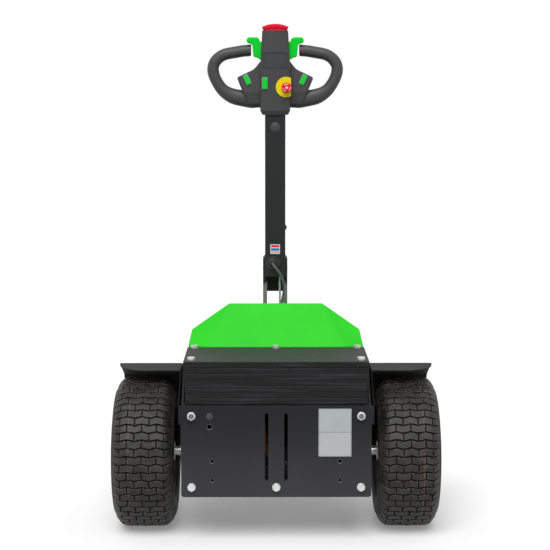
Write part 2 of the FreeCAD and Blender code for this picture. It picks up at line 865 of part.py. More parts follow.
# --- battery ------------------------------------------------------------------------------------
def battery_tray():
    front = battery_front - tray_gap
    back = frame_rear_y - frame_t
    tray = block(-frame_in, frame_in, front, back, tray_low, tray_low + tray_lip)
    hollow = block(-frame_in + tray_t, frame_in - tray_t, front + tray_t, back - tray_t,
                   tray_low + tray_t, tray_low + tray_lip + 1)
    return tray.cut(hollow)


def battery_pack():
    z0 = tray_low + tray_t
    solids = []
    for s in (-1, 1):
        x0, x1 = sorted((s * battery_gap / 2, s * (battery_gap / 2 + battery_w)))
        solids.append(block(x0, x1, battery_front, battery_front + battery_d, z0, z0 + battery_h))
    return solids


# --- drive wheels -------------------------------------------------------------------------------
def tyre():
    half = tyre_w / 2
    edge = tread_w / 2
    lip = rim_lip_r + 0.7
    seat = rim_seat_r + 2.6
    outer = [
        line((tyre_bead_out, seat), (tyre_bead_out, lip)),
        arc((tyre_bead_out, lip), (half, tyre_r - 45), (edge, tyre_r - 20)),
        arc((edge, tyre_r - 20), (edge - 8, tyre_r - 7), (edge - 26, tyre_r - 1)),
        line((edge - 26, tyre_r - 1), (0, tyre_r)),
    ]
    inner = [
        line((0, tyre_r - tyre_wall - 4), (edge - 22, tyre_r - tyre_wall - 5)),
        line((edge - 22, tyre_r - tyre_wall - 5), (half - tyre_wall, tyre_r - 50)),
        line((half - tyre_wall, tyre_r - 50), (56, lip + 6)),
        line((56, lip + 6), (tyre_bead_in, seat)),
        line((tyre_bead_in, seat), (tyre_bead_out, seat)),
    ]
    axis = line((0, tyre_r), (0, tyre_r - tyre_wall - 4))
    half_face = Part.Face(Part.Wire(Part.__sortEdges__(outer + [axis] + inner)))
    half_ring = half_face.revolve(V(0, 0, 0), V(1, 0, 0), 360)
    other = half_ring.mirror(V(0, 0, 0), V(1, 0, 0))
    ring = half_ring.fuse(other).removeSplitter()
    ring.translate(V(tyre_x, 0, axle_z))
    return ring


def stud_places():
    """Centres of the four wheel studs, as (y, z)."""
    places = []
    for i in range(4):
        a = math.radians(90 * i)
        places.append((stud_ring_r * math.cos(a), axle_z + stud_ring_r * math.sin(a)))
    return places


def rim():
    """Drop-centre barrel with a dished disc, vent holes and stud holes."""
    lip = rim_lip_r
    seat = rim_seat_r
    well = seat - 13
    top = [(-68, lip), (-64, lip), (-63.7, seat + 2.3), (-44, seat), (-30, well),
           (30, well), (44, seat), (63.7, seat + 2.3), (64, lip), (68, lip)]
    under = [(66.5, seat + 1), (45, seat - rim_t), (32, well - rim_t), (-32, well - rim_t),
             (-45, seat - rim_t), (-66.5, seat + 1)]
    barrel = revolve_about_x(closed_lines(top + under), tyre_x, 0, axle_z)
    r = well - rim_t + 0.5
    t = rim_disc_t
    bore = hub_barrel_r + 1
    flat = stud_ring_r + stud_af / 2 + 6
    disc = [(8, r), (14, flat + 16), (0, flat), (0, bore), (t, bore), (t, flat + 1),
            (14 + t, flat + 18), (8 + t, r)]
    centre = revolve_about_x(closed_lines(disc), disc_x, 0, axle_z)
    holes = []
    for i in range(4):
        a = math.radians(45 + 90 * i)
        y = vent_ring_r * math.cos(a)
        z = axle_z + vent_ring_r * math.sin(a)
        holes.append(rod_x(vent_r, disc_x - 1, disc_x + 30, y, z))
    for y, z in stud_places():
        holes.append(rod_x(stud_r + 0.5, disc_x - 1, disc_x + t + 1, y, z))
    return barrel.fuse(centre).removeSplitter().cut(Part.makeCompound(holes))


def hub():
    """Drive hub on the shaft: collar, barrel and flange inside the disc, studs and nuts outside."""
    start = plate_w / 2 + wheel_gap + hub_in
    flange_t = 9.0
    profile = [(start, shaft_r), (start, hub_barrel_r + 4),
               (start + 9, hub_barrel_r + 4), (start + 13, hub_barrel_r),
               (disc_x - flange_t - 12, hub_barrel_r), (disc_x - flange_t, hub_barrel_r + 12),
               (disc_x - flange_t, hub_flange_r - 2), (disc_x - flange_t + 2, hub_flange_r),
               (disc_x, hub_flange_r),
               (disc_x, hub_barrel_r), (disc_x + 24, hub_barrel_r), (disc_x + 24, shaft_r)]
    body = revolve_about_x(closed_lines([(u, max(r, shaft_r + 0.05)) for u, r in profile]), 0, 0, axle_z)
    nuts = []
    outside = disc_x + rim_disc_t
    for y, z in stud_places():
        nuts.append(hexagon(stud_af, V(outside, y, z), V(1, 0, 0), 9))
        nuts.append(rod_x(stud_r, disc_x - 1, outside + 12, y, z))
    return body.multiFuse(nuts)


def axle_shaft():
    """Bare bright shaft from the gear case's nose to the nut outside the hub."""
    side_r = disc_x + 24.3
    shaft = rod_x(shaft_r, gear_right + gear_nose_l - 6, side_r + 6, 0, axle_z)
    nut = hexagon(30, V(side_r, 0, axle_z), V(1, 0, 0), 12)
    return shaft.fuse(nut).removeSplitter()


def axle_shaft_left():
    """The left shaft is shorter, as the gear case stands to that side."""
    side_r = -disc_x - 24.3
    shaft = rod_x(shaft_r, side_r - 6, gear_left - gear_nose_l + 6, 0, axle_z)
    nut = hexagon(30, V(side_r, 0, axle_z), V(-1, 0, 0), 12)
    return shaft.fuse(nut).removeSplitter()


# --- castor -------------------------------------------------------------------------------------
def castor_plate():
    x = castor_plate_w / 2
    y = castor_plate_l / 2
    low = deck_low - castor_plate_t
    plate = block(-x, x, castor_y - y, castor_y + y, low, deck_low)
    plate = fillet_along(plate, 12, V(0, 0, 1))
    race = rod_z(castor_race_r, low - 8, low, 0, castor_y)
    nuts = []
    for sx in (-1, 1):
        for sy in (-1, 1):
            place = V(sx * (x - 15), castor_y + sy * (y - 15), low)
            nuts.append(hexagon(bolt_head_af, place, V(0, 0, -1), bolt_head_h))
    return plate.multiFuse([race] + nuts).removeSplitter()


def castor_fork():
    """Pressed fork: crown with a race ring, and a leg on each side that narrows to the axle."""
    top = deck_low - castor_plate_t - 8.4
    foot = V(0, castor_y, crown_low + 5)
    race = Part.makeCone(castor_race_r - 4, castor_race_r + 3, top - foot.z, foot)
    half = leg_in + castor_leg_t
    front = castor_y - 42
    back = castor_y + 44
    crown = block(-half, half, front, back, crown_low, crown_low + 5)
    boss_r = 20.0
    low = castor_r - boss_r
    legs = []
    for s in (-1, 1):
        x0, x1 = sorted((s * leg_in, s * half))
        corners = [(front, crown_low + 5, 0), (back, crown_low + 5, 0), (back, crown_low - 22, 12),
                   (castor_axle_y + boss_r, castor_r + 6, 10), (castor_axle_y + boss_r, low, boss_r - 1),
                   (castor_axle_y - boss_r, low, boss_r - 1), (castor_axle_y - boss_r - 4, castor_r + 14, 16),
                   (front, crown_low - 30, 14)]
        legs.append(rounded_x(corners, x0, x1))
        legs.append(rod_x(boss_r - 5, *sorted((s * half, s * (half + 3))), castor_axle_y, castor_r))
    whole = crown.multiFuse([race] + legs).removeSplitter()
    return whole.cut(rod_x(castor_axle_r + 0.3, -half - 4, half + 4, castor_axle_y, castor_r))


def castor_axle():
    half = leg_in + castor_leg_t + 3.2
    bolt = rod_x(castor_axle_r, -half - 10, half + 7, castor_axle_y, castor_r)
    head = hexagon(17, V(half, castor_axle_y, castor_r), V(1, 0, 0), 7.5)
    nut = hexagon(17, V(-half, castor_axle_y, castor_r), V(-1, 0, 0), 7.5)
    return bolt.multiFuse([head, nut]).removeSplitter()


def castor_tyre():
    w = castor_w / 2
    seat = castor_r - castor_tyre_t
    profile = [
        line((-w, seat), (-w, castor_r - 9)),
        arc((-w, castor_r - 9), (-w + 3, castor_r - 2), (-w + 12, castor_r)),
        line((-w + 12, castor_r), (w - 12, castor_r)),
        arc((w - 12, castor_r), (w - 3, castor_r - 2), (w, castor_r - 9)),
        line((w, castor_r - 9), (w, seat)),
        line((w, seat), (-w, seat)),
    ]
    return revolve_about_x(profile, 0, castor_axle_y, castor_r)


def castor_core():
    """Ribbed moulded core: rim under the tyre, thin web, hub and radial ribs on both sides."""
    w = castor_w / 2 - 3
    seat = castor_r - castor_tyre_t
    hub_r = 19.0
    bore = castor_axle_r + 0.1
    end = leg_in - 1
    profile = [(-w, seat), (w, seat), (w, seat - 8), (4, seat - 10), (4, hub_r + 2),
               (end, hub_r), (end, bore),
               (-end, bore), (-end, hub_r), (-4, hub_r + 2), (-4, seat - 10), (-w, seat - 8)]
    core = revolve_about_x(closed_lines(profile), 0, castor_axle_y, castor_r)
    ribs = []
    for i in range(castor_rib_count):
        rib = block(-w + 4, w - 4, -2, 2, hub_r - 1, seat - 7)
        rib.rotate(V(0, 0, 0), V(1, 0, 0), 360 * i / castor_rib_count)
        rib.translate(V(0, castor_axle_y, castor_r))
        ribs.append(rib)
    return core.multiFuse(ribs).removeSplitter()


# --- tiller -------------------------------------------------------------------------------------
def tiller_mount():
    base = block(-70, 70, pivot_y - 62, pivot_y + 62, deck_top, deck_top + 8)
    base = fillet_along(base, 12, V(0, 0, 1))
    solids = []
    for s in (-1, 1):
        x0, x1 = sorted((s * mount_in, s * mount_out))
        ear = [(pivot_y - 50, deck_top + 8, 0), (pivot_y + 50, deck_top + 8, 0),
               (pivot_y + 24, pivot_z - 6, 20), (pivot_y + 24, pivot_z + 24, 22),
               (pivot_y - 24, pivot_z + 24, 22), (pivot_y - 24, pivot_z - 6, 20)]
        solids.append(rounded_x(ear, x0, x1))
    # foot of the gas spring: two lugs behind the ears
    foot_y = spring_foot.y
    foot_z = spring_foot.z
    pad_top = deck_top + 6
    solids.append(block(spring_x - 22, spring_x + 22, pivot_y + 60, foot_y + 16, deck_top, pad_top))
    for s in (-1, 1):
        x0, x1 = sorted((spring_x + s * (eye_t / 2 + 0.5), spring_x + s * (eye_t / 2 + 4.5)))
        solids.append(rounded_x([(foot_y - 12, pad_top, 0), (foot_y + 12, pad_top, 0),
                                 (foot_y + 9, foot_z + 9, 8), (foot_y - 9, foot_z + 9, 8)], x0, x1))
    whole = base.multiFuse(solids).removeSplitter()
    holes = [rod_x(pin_r + 0.05, -mount_out - 1, mount_out + 1, pivot_y, pivot_z),
             rod_x(eye_pin_r + 0.05, spring_x - 12, spring_x + 12, foot_y, foot_z)]
    return whole.cut(Part.makeCompound(holes))


def pivot_pin():
    pin = rod_x(pin_r, -mount_out - 2, mount_out + 2, pivot_y, pivot_z)
    head = rod_x(pin_r + 4, mount_out + 0.3, mount_out + 5, pivot_y, pivot_z)
    cap = rod_x(pin_r + 4, -mount_out - 5, -mount_out - 0.3, pivot_y, pivot_z)
    return pin.multiFuse([head, cap]).removeSplitter()


def spring_foot_pin():
    half = eye_t / 2 + 7
    return rod_x(eye_pin_r, spring_x - half, spring_x + half, spring_foot.y, spring_foot.z)


def tiller_fork():
    """Two flat bars on a pivot boss, up to the tube's bracket."""
    d = fork_bar_d / 2
    solids = []
    for s in (-1, 1):
        x0, x1 = sorted((s * fork_in, s * fork_out))
        solids.append(block(x0, x1, pivot_y - d, pivot_y + d, pivot_z, pivot_z + fork_len))
        solids.append(rod_x(d, x0, x1, pivot_y, pivot_z))
    boss = rod_x(pin_r + 7, -fork_in - 1, fork_in + 1, pivot_y, pivot_z)
    whole = boss.multiFuse(solids).removeSplitter()
    return whole.cut(rod_x(pin_r + 0.05, -fork_out - 1, fork_out + 1, pivot_y, pivot_z))


def tiller_bracket():
    """Black U bracket: an ear on each side of the tube and a web behind it."""
    low = pivot_z + ear_low
    high = pivot_z + ear_high
    ears = []
    for s in (-1, 1):
        x0, x1 = sorted((s * tube_w / 2, s * (tube_w / 2 + ear_t)))
        profile = [(tube_front + 6, low), (tube_back + ear_t, low), (tube_back + ear_t, high),
                   (tube_front + 14, high), (tube_front + 6, high - 8)]
        ears.append(prism_x(profile, x0, x1))
        x0, x1 = sorted((s * fork_in, s * tube_w / 2))
        ears.append(block(x0, x1, pivot_y - fork_bar_d / 2, tube_back + ear_t, low, tube_low))
    web = block(-tube_w / 2, tube_w / 2, tube_back, tube_back + ear_t, low, high)
    skirt = block(-fork_in, fork_in, tube_back, tube_back + ear_t, pivot_z + web_low, low)
    whole = web.multiFuse(ears + [skirt]).removeSplitter()
    corners = [e for e in whole.Edges if e.BoundBox.ZLength < 0.01 and abs(e.CenterOfMass.z - high) < 0.01
               and abs(abs(e.CenterOfMass.x) - tube_w / 2 - ear_t) < 0.01]
    whole = whole.makeChamfer(ear_chamfer, corners)
    return whole.cut(rod_x(eye_pin_r + 0.05, -60, 60, spring_top.y, spring_top.z))


def tiller_tube():
    x = tube_w / 2
    tube = block(-x, x, tube_front, tube_back, tube_low, tube_top)
    tube = fillet_along(tube, 5, V(0, 0, 1))
    inner = block(-x + tube_t, x - tube_t, tube_front + tube_t, tube_back - tube_t,
                  tube_low - 1, tube_top + 1)
    tube = tube.cut(fillet_along(inner, 2, V(0, 0, 1)))
    return tube.cut(rod_x(eye_pin_r + 0.05, -60, 60, spring_top.y, spring_top.z))


def spring_top_pins():
    """The top pin in two lengths, one each side of the rod's eye."""
    half = tube_w / 2 + ear_t + 0.5
    gap = eye_t / 2 + 0.5
    return [rod_x(eye_pin_r, -half, spring_x - gap, spring_top.y, spring_top.z),
            rod_x(eye_pin_r, spring_x + gap, half, spring_top.y, spring_top.z)]


# --- gas spring ---------------------------------------------------------------------------------
def eye(centre):
    return rod_x(eye_r, spring_x - eye_t / 2, spring_x + eye_t / 2, centre.y, centre.z)


def spring_cylinder():
    neck_l = eye_r + 6
    body = Part.makeCylinder(spring_r, spring_body_l, spring_foot + spring_way * neck_l, spring_way)
    neck = Part.makeCylinder(spring_rod_r + 0.3, 10, spring_foot + spring_way * (neck_l - 8), spring_way)
    whole = eye(spring_foot).multiFuse([neck, body]).removeSplitter()
    bore = rod_x(eye_pin_r + 0.05, spring_x - 20, spring_x + 20, spring_foot.y, spring_foot.z)
    start = spring_foot + spring_way * (neck_l + 10)
    rod_space = Part.makeCylinder(spring_rod_r + 0.1, spring_body_l, start, spring_way)
    return whole.cut(bore).cut(rod_space)


def spring_rod():
    """Rod with a filled eye; its inner end stays in the cylinder at full length."""
    eye_root = (spring_top - spring_foot).Length - eye_r + 2
    inner_end = eye_r + 6 + spring_body_l - spring_dead_l
    start = spring_foot + spring_way * inner_end
    rod = Part.makeCylinder(spring_rod_r, eye_root - inner_end, start, spring_way)
    return eye(spring_top).fuse(rod).removeSplitter()


# --- control head -------------------------------------------------------------------------------
def head_section(z, half_w, front, back):
    """Rounded section of the head with a slightly crowned front."""
    y0 = pivot_y - front
    y1 = pivot_y + back
    r = head_round
    s = r * (1 - math.sqrt(0.5))
    edges = [
        Part.Arc(V(-half_w + r, y0, z), V(0, y0 - head_crown, z), V(half_w - r, y0, z)).toShape(),
        Part.Arc(V(half_w - r, y0, z), V(half_w - s, y0 + s, z), V(half_w, y0 + r, z)).toShape(),
        Part.LineSegment(V(half_w, y0 + r, z), V(half_w, y1 - r, z)).toShape(),
        Part.Arc(V(half_w, y1 - r, z), V(half_w - s, y1 - s, z), V(half_w - r, y1, z)).toShape(),
        Part.LineSegment(V(half_w - r, y1, z), V(-half_w + r, y1, z)).toShape(),
        Part.Arc(V(-half_w + r, y1, z), V(-half_w + s, y1 - s, z), V(-half_w, y1 - r, z)).toShape(),
        Part.LineSegment(V(-half_w, y1 - r, z), V(-half_w, y0 + r, z)).toShape(),
        Part.Arc(V(-half_w, y0 + r, z), V(-half_w + s, y0 + s, z), V(-half_w + r, y0, z)).toShape(),
    ]
    return Part.Wire(edges)


def head_half(up):
    """Half width of the head at a height above its foot, on its tapered part."""
    low = head_w_low / 2 - 1
    top = head_w_top / 2
    return low + (top - low) * (up - 157) / (head_h - 157)


def head_body():
    d = head_d / 2
    low = head_w_low / 2
    sections = [
        head_section(head_low, low - 6, d - 6, d - 6),
        head_section(head_low + 12, low, d, d),
        head_section(head_low + 157, low - 1, d, d),
        head_section(head_low + head_h, head_w_top / 2, d - 4, d - 6),
    ]
    return Part.makeLoft(sections, True, True)


def wing():
    """Moulded cover over the root of a grip: a swept outline with a face folded along its lower third."""
    z = head_low
    inside = head_w_low / 2 - 12
    outline_corners = [(inside, z + 31, 0), (83, z + 39, 4), (103, z + 85, 20), (112.5, z + 109, 6),
                       (62, z + 133, 40), (42, z + 158, 0), (inside, z + 162, 0)]
    y = pivot_y + grip_y
    half = wing_t / 2
    plan = rounded_y(outline_corners, y - half - 5, y + half + 5)
    sides = [(y - half + 5, z + 20, 0), (y - half - 1, z + 66, 12), (y - half + 11, z + 170, 0),
             (y + half - 11, z + 170, 0), (y + half + 1, z + 66, 12), (y + half - 5, z + 20, 0)]
    return plan.common(rounded_x(sides, 0, 150))


def front_skin(body, depth):
    """The outermost layer of the head's front, depth thick."""
    back = body.copy()
    back.translate(V(0, depth, 0))
    return body.cut(back)


def badge_field(grow):
    w = badge_w / 2 + grow
    h = badge_h / 2 + grow
    z = head_low + badge_up
    corners = [(-w, z - h, 4 + grow), (w, z - h, 4 + grow), (w, z + h, 4 + grow), (-w, z + h, 4 + grow)]
    return rounded_y(corners, pivot_y - head_d, pivot_y)


def control_head(grip_roots):
    body = head_body()
    badge = front_skin(body, badge_deep).common(badge_field(0))
    forward = body.copy()
    forward.translate(V(0, -0.6, 0))
    frame = forward.cut(body).common(badge_field(1.2)).cut(badge_field(0))
    right = wing()
    whole = body.multiFuse([right, mirrored(right), frame]).removeSplitter()
    socket = block(-tube_w / 2 - 0.2, tube_w / 2 + 0.2, tube_front - 0.2, tube_back + 0.2,
                   head_low - 1, tube_top + 0.2)
    return whole.cut(Part.makeCompound([socket, badge] + grip_roots))


def grip_loft(grow):
    """Hand loop on the right side, from its free upper end round to the deeper arm at the head's flank."""
    stations = [(grip_end_x, 189.5, 0), (92, 187, 0), (113, 183.5, 0), (134, 180, 0), (152, 175, 0),
                (168, 164.5, 0), (179, 150, 0), (182.5, 134, 0), (179, 114, 0), (169.5, 94, 0), (157, 76, 1),
                (142, 63.5, 3), (124, 54.5, 5.5), (104, 49.5, 6.5), (84, 46, 7), (62, 43.5, 7), (40, 42, 7)]
    last = len(stations) - 1
    rings = []
    for i, (x, up, deeper) in enumerate(stations):
        back = stations[max(i - 1, 0)]
        ahead = stations[min(i + 1, last)]
        # both end rings stand upright
        rise = ahead[1] - back[1] if 0 < i < last else 0
        across = V(rise, 0, back[0] - ahead[0]).normalize()
        centre = V(x, pivot_y + grip_y, head_low + up)
        long_end = centre + across * (grip_r + deeper + grow + 0.01)
        rings.append(Part.Wire(Part.Ellipse(long_end, centre + V(0, grip_r + grow, 0), centre).toShape()))
    return Part.makeLoft(rings, True, False)


def grip(body):
    """The rubber-covered loop ends at the head's flank; its free end has a soft edge."""
    loop = grip_loft(0).cut(body)
    free_end = [e for e in loop.Edges if e.BoundBox.XLength < 0.01
                and abs(e.CenterOfMass.x - grip_end_x) < 1]
    return loop.makeFillet(2, free_end)


def throttle():
    """Butterfly throttle lever on the head's right side, its lobe hooked over the grip's free end."""
    z = head_low
    inside = 0.3
    corners = [(head_half(160) + inside, z + 160, 0), (head_half(214) + inside, z + 214, 0), (45, z + 214, 2),
               (49, z + 226.4, 10), (84, z + 226.6, 9), (83.5, z + 208, 8), (67.5, z + 208.6, 8),
               (64, z + 170, 5), (51, z + 166, 6)]
    lever = rounded_y(corners, pivot_y - 16, pivot_y + 20)
    return lever.makeFillet(4, [e for e in lever.Edges if e.BoundBox.YLength < 0.01 and e.BoundBox.XMin > 50])


def belly_button():
    """Red button across the head's end: a narrower neck under an arched cap with soft edges."""
    half = head_w_top / 2
    z = head_top + 0.3
    y0 = pivot_y - head_d / 2 + 4
    y1 = pivot_y + head_d / 2 - 8
    neck = block(-half + 6.5, half - 6.5, y0 + 3, y1 - 3, z, z + 8)
    outline_edges = [
        Part.LineSegment(V(-half + 1, y0, z + 3), V(-half - 1, y0, z + 10.5)).toShape(),
        Part.Arc(V(-half - 1, y0, z + 10.5), V(0, y0, z + 19.3), V(half + 1, y0, z + 10.5)).toShape(),
        Part.LineSegment(V(half + 1, y0, z + 10.5), V(half - 1, y0, z + 3)).toShape(),
        Part.Arc(V(half - 1, y0, z + 3), V(0, y0, z + 7.5), V(-half + 1, y0, z + 3)).toShape(),
    ]
    cap = Part.Face(Part.Wire(outline_edges)).extrude(V(0, y1 - y0, 0))
    cap = cap.makeFillet(2.5, cap.Edges)
    return cap.fuse(neck).removeSplitter()


def estop_plate(head):
    """Round yellow plate, cut straight where it meets the head's right edge."""
    face = pivot_y - head_d / 2 - head_crown
    disc = rod_y(29.8, face - 1, face + 5, estop_x, head_low + estop_up)
    keep = block(-head_w_low, head_w_low / 2 + 2.2, face - 10, face + 10, head_low, head_top)
    seat = head.copy()
    seat.translate(V(0, -0.15, 0))
    return disc.common(keep).cut(seat)


def estop_button():
    """Mushroom button turned about its own axis."""
    face = pivot_y - head_d / 2 - head_crown - 1.2
    profile = [(face, 0), (face, 11), (face - 11, 11), (face - 12, 14), (face - 15, 15.3), (face - 19, 15),
               (face - 22, 12.5), (face - 23.5, 8), (face - 24, 0)]
    return revolve_about_y(profile, estop_x + 1.5, 0, head_low + estop_up - 2)


def rockers(head):
    """Three rocker switches, one on each wing and one on the head."""
    solids = []
    seat = head.copy()
    seat.translate(V(0, -0.1, 0))
    front = pivot_y + grip_y - wing_t / 2 + 2
    lean = math.radians(6.6)
    for s in (-1, 1):
        key = rounded_y([(-6.2, -13.5, 3), (6.2, -13.5, 3), (6.2, 13.5, 3), (-6.2, 13.5, 3)], -4, 8)
        key.rotate(V(0, 0, 0), V(1, 0, 0), -math.degrees(lean))
        key.rotate(V(0, 0, 0), V(0, 1, 0), s * 25)
        key.translate(V(s * 82, front, head_low + 102))
        solids.append(key.cut(seat))
    face = pivot_y - head_d / 2
    corners = [(-37, 76, 3), (-23, 76, 3), (-23, 107.5, 3), (-37, 107.5, 3)]
    key = rounded_y([(x, head_low + up, r) for x, up, r in corners], face - 6, face + 2)
    solids.append(key.cut(seat))
    return solids


def cable_gland():
    """Round grommet on the tube's front with a short nose."""
    profile = [(0, 0), (0, 20.5), (-2, 20.5), (-4, 18.5), (-3.5, 13), (-5, 10), (-11, 7), (-12, 5.5), (-12, 0)]
    return revolve_about_y([(tube_front + along, r) for along, r in profile], gland_x, 0, tube_low + gland_up)


def control_cable():
    """From the gland down in front of the right fork bar and back to the fork's pivot boss."""
    front = tube_front
    z = tube_low
    last_bend = V(4, front - 1, z - 302)
    boss = V(last_bend.x, pivot_y, pivot_z)
    end = boss + (last_bend - boss).normalize() * (pin_r + 7.4)
    route = [
        (gland_x, front - 12.2, z + gland_up),
        (gland_x + 1, front - 24, z + gland_up - 1),
        (1, front - 29, z + 30),
        (13, front - 30, z + 15),
        (22, front - 28, z - 4),
        (26, front - 24, z - 22),
        (25.5, front - 19, z - 40),
        (22, front - 15, z - 59),
        (18, front - 11, z - 84),
        (13, front - 8, z - 122),
        (9, front - 7, z - 172),
        (6, front - 7, z - 226),
        (4, front - 6, z - 272),
        (last_bend.x, last_bend.y, last_bend.z),
        (end.x, end.y, end.z),
    ]
    return pipe(route, cable_r)


# --- build --------------------------------------------------------------------------------------
save("coupling_plate", coupling_plate())
save("coupling_plate_bolts", *plate_bolts())
frame_right = side_frame()
save("side_frame_right", frame_right)
save("side_frame_left", mirrored(frame_right))
save("front_crossbar", front_crossbar())
save("rear_crossplate", rear_crossplate())
save("belly_pan", belly_pan())
save("rear_deck", rear_deck())
save("ballast_shelf", ballast_shelf())
save("ballast_plates", *ballast_plates())
save("ballast_bolts", *ballast_bolts())
save("hood", hood())
fender_right = fender()
save("fender_right", fender_right)
save("fender_left", mirrored(fender_right))
save("transaxle", transaxle())
save("axle_bearings", axle_bearing(-1), axle_bearing(1))
save("drive_motor", drive_motor())
save("motor_cable", motor_cable())
save("battery_tray", battery_tray())
save("battery_pack", *battery_pack())

right_tyre = tyre()
right_rim = rim()
right_hub = hub()
for side, turn in (("right", lambda s: s), ("left", mirrored)):
    save("tyre_" + side, turn(right_tyre))
    save("rim_" + side, turn(right_rim))
    save("hub_" + side, turn(right_hub))
save("axle_shaft_right", axle_shaft())
save("axle_shaft_left", axle_shaft_left())

save("castor_plate", castor_plate())
save("castor_fork", castor_fork())
save("castor_axle", castor_axle())
save("castor_tyre", castor_tyre())
save("castor_core", castor_core())

save("tiller_mount", tiller_mount())
save("tiller_pivot_pin", pivot_pin())
save("gas_spring_foot_pin", spring_foot_pin())
save("tiller_fork", tiller_fork())
save("tiller_bracket", tiller_bracket())
save("tiller_tube", tiller_tube())
save("gas_spring_top_pin", *spring_top_pins())
save("gas_spring_cylinder", spring_cylinder())
save("gas_spring_rod", spring_rod())
right_root = grip_loft(0.2)
head = control_head([right_root, mirrored(right_root)])
save("control_head", head)
save("rocker_switches", *rockers(head))
right_grip = grip(head_body())
save("hand_grips", right_grip, mirrored(right_grip))
right_throttle = throttle()
save("throttle_levers", right_throttle, mirrored(right_throttle))
save("belly_button", belly_button())
save("estop_plate", estop_plate(head))
save("estop_button", estop_button())
save("cable_gland", cable_gland())
save("control_cable", control_cable())
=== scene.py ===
import json
import math
import bmesh
import bpy
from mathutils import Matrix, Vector


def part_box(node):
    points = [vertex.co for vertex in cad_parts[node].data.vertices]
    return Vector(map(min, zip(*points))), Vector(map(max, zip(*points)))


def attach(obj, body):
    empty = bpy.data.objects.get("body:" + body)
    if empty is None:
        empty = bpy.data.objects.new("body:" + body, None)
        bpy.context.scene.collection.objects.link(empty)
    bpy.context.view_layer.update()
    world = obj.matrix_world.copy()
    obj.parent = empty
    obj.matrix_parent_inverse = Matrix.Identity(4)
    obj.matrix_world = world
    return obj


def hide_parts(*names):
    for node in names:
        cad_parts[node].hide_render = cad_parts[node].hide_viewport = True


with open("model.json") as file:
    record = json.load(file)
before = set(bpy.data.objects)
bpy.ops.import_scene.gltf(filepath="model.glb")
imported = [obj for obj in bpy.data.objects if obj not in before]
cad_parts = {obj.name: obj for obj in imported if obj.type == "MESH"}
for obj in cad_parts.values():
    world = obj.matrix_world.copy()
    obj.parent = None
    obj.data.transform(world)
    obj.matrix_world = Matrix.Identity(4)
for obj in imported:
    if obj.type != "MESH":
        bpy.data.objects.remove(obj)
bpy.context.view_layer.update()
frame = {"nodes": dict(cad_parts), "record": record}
nodes = frame["nodes"]
print("frame loaded,", len(nodes), "CAD nodes")


def selectAll(action="SELECT"):
    bpy.ops.mesh.select_all(action=action)


def clearSelection():
    active = bpy.context.view_layer.objects.active
    if active is not None and active.mode != "OBJECT":
        bpy.ops.object.mode_set(mode="OBJECT")
    bpy.ops.object.select_all(action="DESELECT")


def grab(*pieces):
    # the first piece becomes the active one
    clearSelection()
    for piece in pieces:
        piece.select_set(True)
    bpy.context.view_layer.objects.active = pieces[0]
    return pieces[0]


def openMesh(piece):
    # edit mode with nothing selected
    grab(piece)
    bpy.ops.object.mode_set(mode="EDIT")
    selectAll("DESELECT")


def closeMesh():
    bpy.ops.object.mode_set(mode="OBJECT")


def applyPlace():
    bpy.ops.object.transform_apply(location=True, rotation=True, scale=True)


def pick(kind, parts, test):
    # selects what passes the test, and nothing else
    bpy.ops.mesh.select_mode(type=kind)
    selectAll("DESELECT")
    shape = bmesh.from_edit_mesh(bpy.context.object.data)
    for part in getattr(shape, parts):
        part.select_set(bool(test(part)))
    bmesh.update_edit_mesh(bpy.context.object.data)


def pickFaces(test):
    # test gets a face's middle and normal
    pick("FACE", "faces", lambda face: test(face.calc_center_median(), face.normal))


def pickPoints(test):
    # test gets a point's place
    pick("VERT", "verts", lambda point: test(point.co))


def drawLine(name, points):
    # a plane shrunk to one point, which is then extruded along the line
    clearSelection()
    bpy.ops.mesh.primitive_plane_add(size=0.01, location=points[0])
    piece = bpy.context.object
    piece.name = name
    applyPlace()
    bpy.ops.object.mode_set(mode="EDIT")
    bpy.ops.mesh.select_mode(type="VERT")
    selectAll()
    bpy.ops.mesh.merge(type="CENTER")
    for start, end in zip(points, points[1:]):
        step = Vector(end) - Vector(start)
        bpy.ops.mesh.extrude_region_move(TRANSFORM_OT_translate={"value": step})
    return piece


def spinLine(name, points, centre, axis, steps, angle=2 * math.pi):
    piece = drawLine(name, points)
    selectAll()
    bpy.ops.mesh.spin(steps=steps, angle=angle, center=centre, axis=axis)
    tidyMesh()
    closeMesh()
    return piece


def turned(name, outline, centre, axis, steps=32, angle=2 * math.pi):
    # outline is pairs of distance along the axis and distance from it
    axis = Vector(axis).normalized()
    side = axis.orthogonal().normalized()
    points = [Vector(centre) + axis * along + side * away for along, away in outline]
    return spinLine(name, points, centre, axis, steps, angle)


def cutOut(name, middle, size, corner, along="y"):
    # a flat plate with rounded corners, thin along one axis
    clearSelection()
    bpy.ops.mesh.primitive_cube_add(size=1, location=middle, scale=size)
    piece = bpy.context.object
    piece.name = name
    applyPlace()
    openMesh(piece)
    thin = "xyz".index(along)
    pick("EDGE", "edges", lambda edge: (
        abs(edge.verts[0].co[thin] - edge.verts[1].co[thin]) > size[thin] * 0.9))
    bpy.ops.mesh.bevel(offset=corner, segments=5)
    closeMesh()
    return piece


def standingPlate(name, look, y):
    # a sheet that stands across the machine with its middle plane at y; across and up are its limits
    (left, right), (low, high) = look["across"], look["up"]
    size = (right - left, look["thick"], high - low)
    return cutOut(name, ((left + right) / 2, y, (low + high) / 2), size, look["corner"])


def joined(name, pieces):
    grab(*pieces)
    bpy.ops.object.join()
    pieces[0].name = name
    return pieces[0]


def tidyMesh(near=0.00001):
    selectAll()
    bpy.ops.mesh.remove_doubles(threshold=near)
    bpy.ops.mesh.normals_make_consistent(inside=False)
    selectAll("DESELECT")


def turnAll(angle, axis, centre):
    selectAll()
    bpy.ops.transform.rotate(value=angle, orient_axis=axis, center_override=centre)


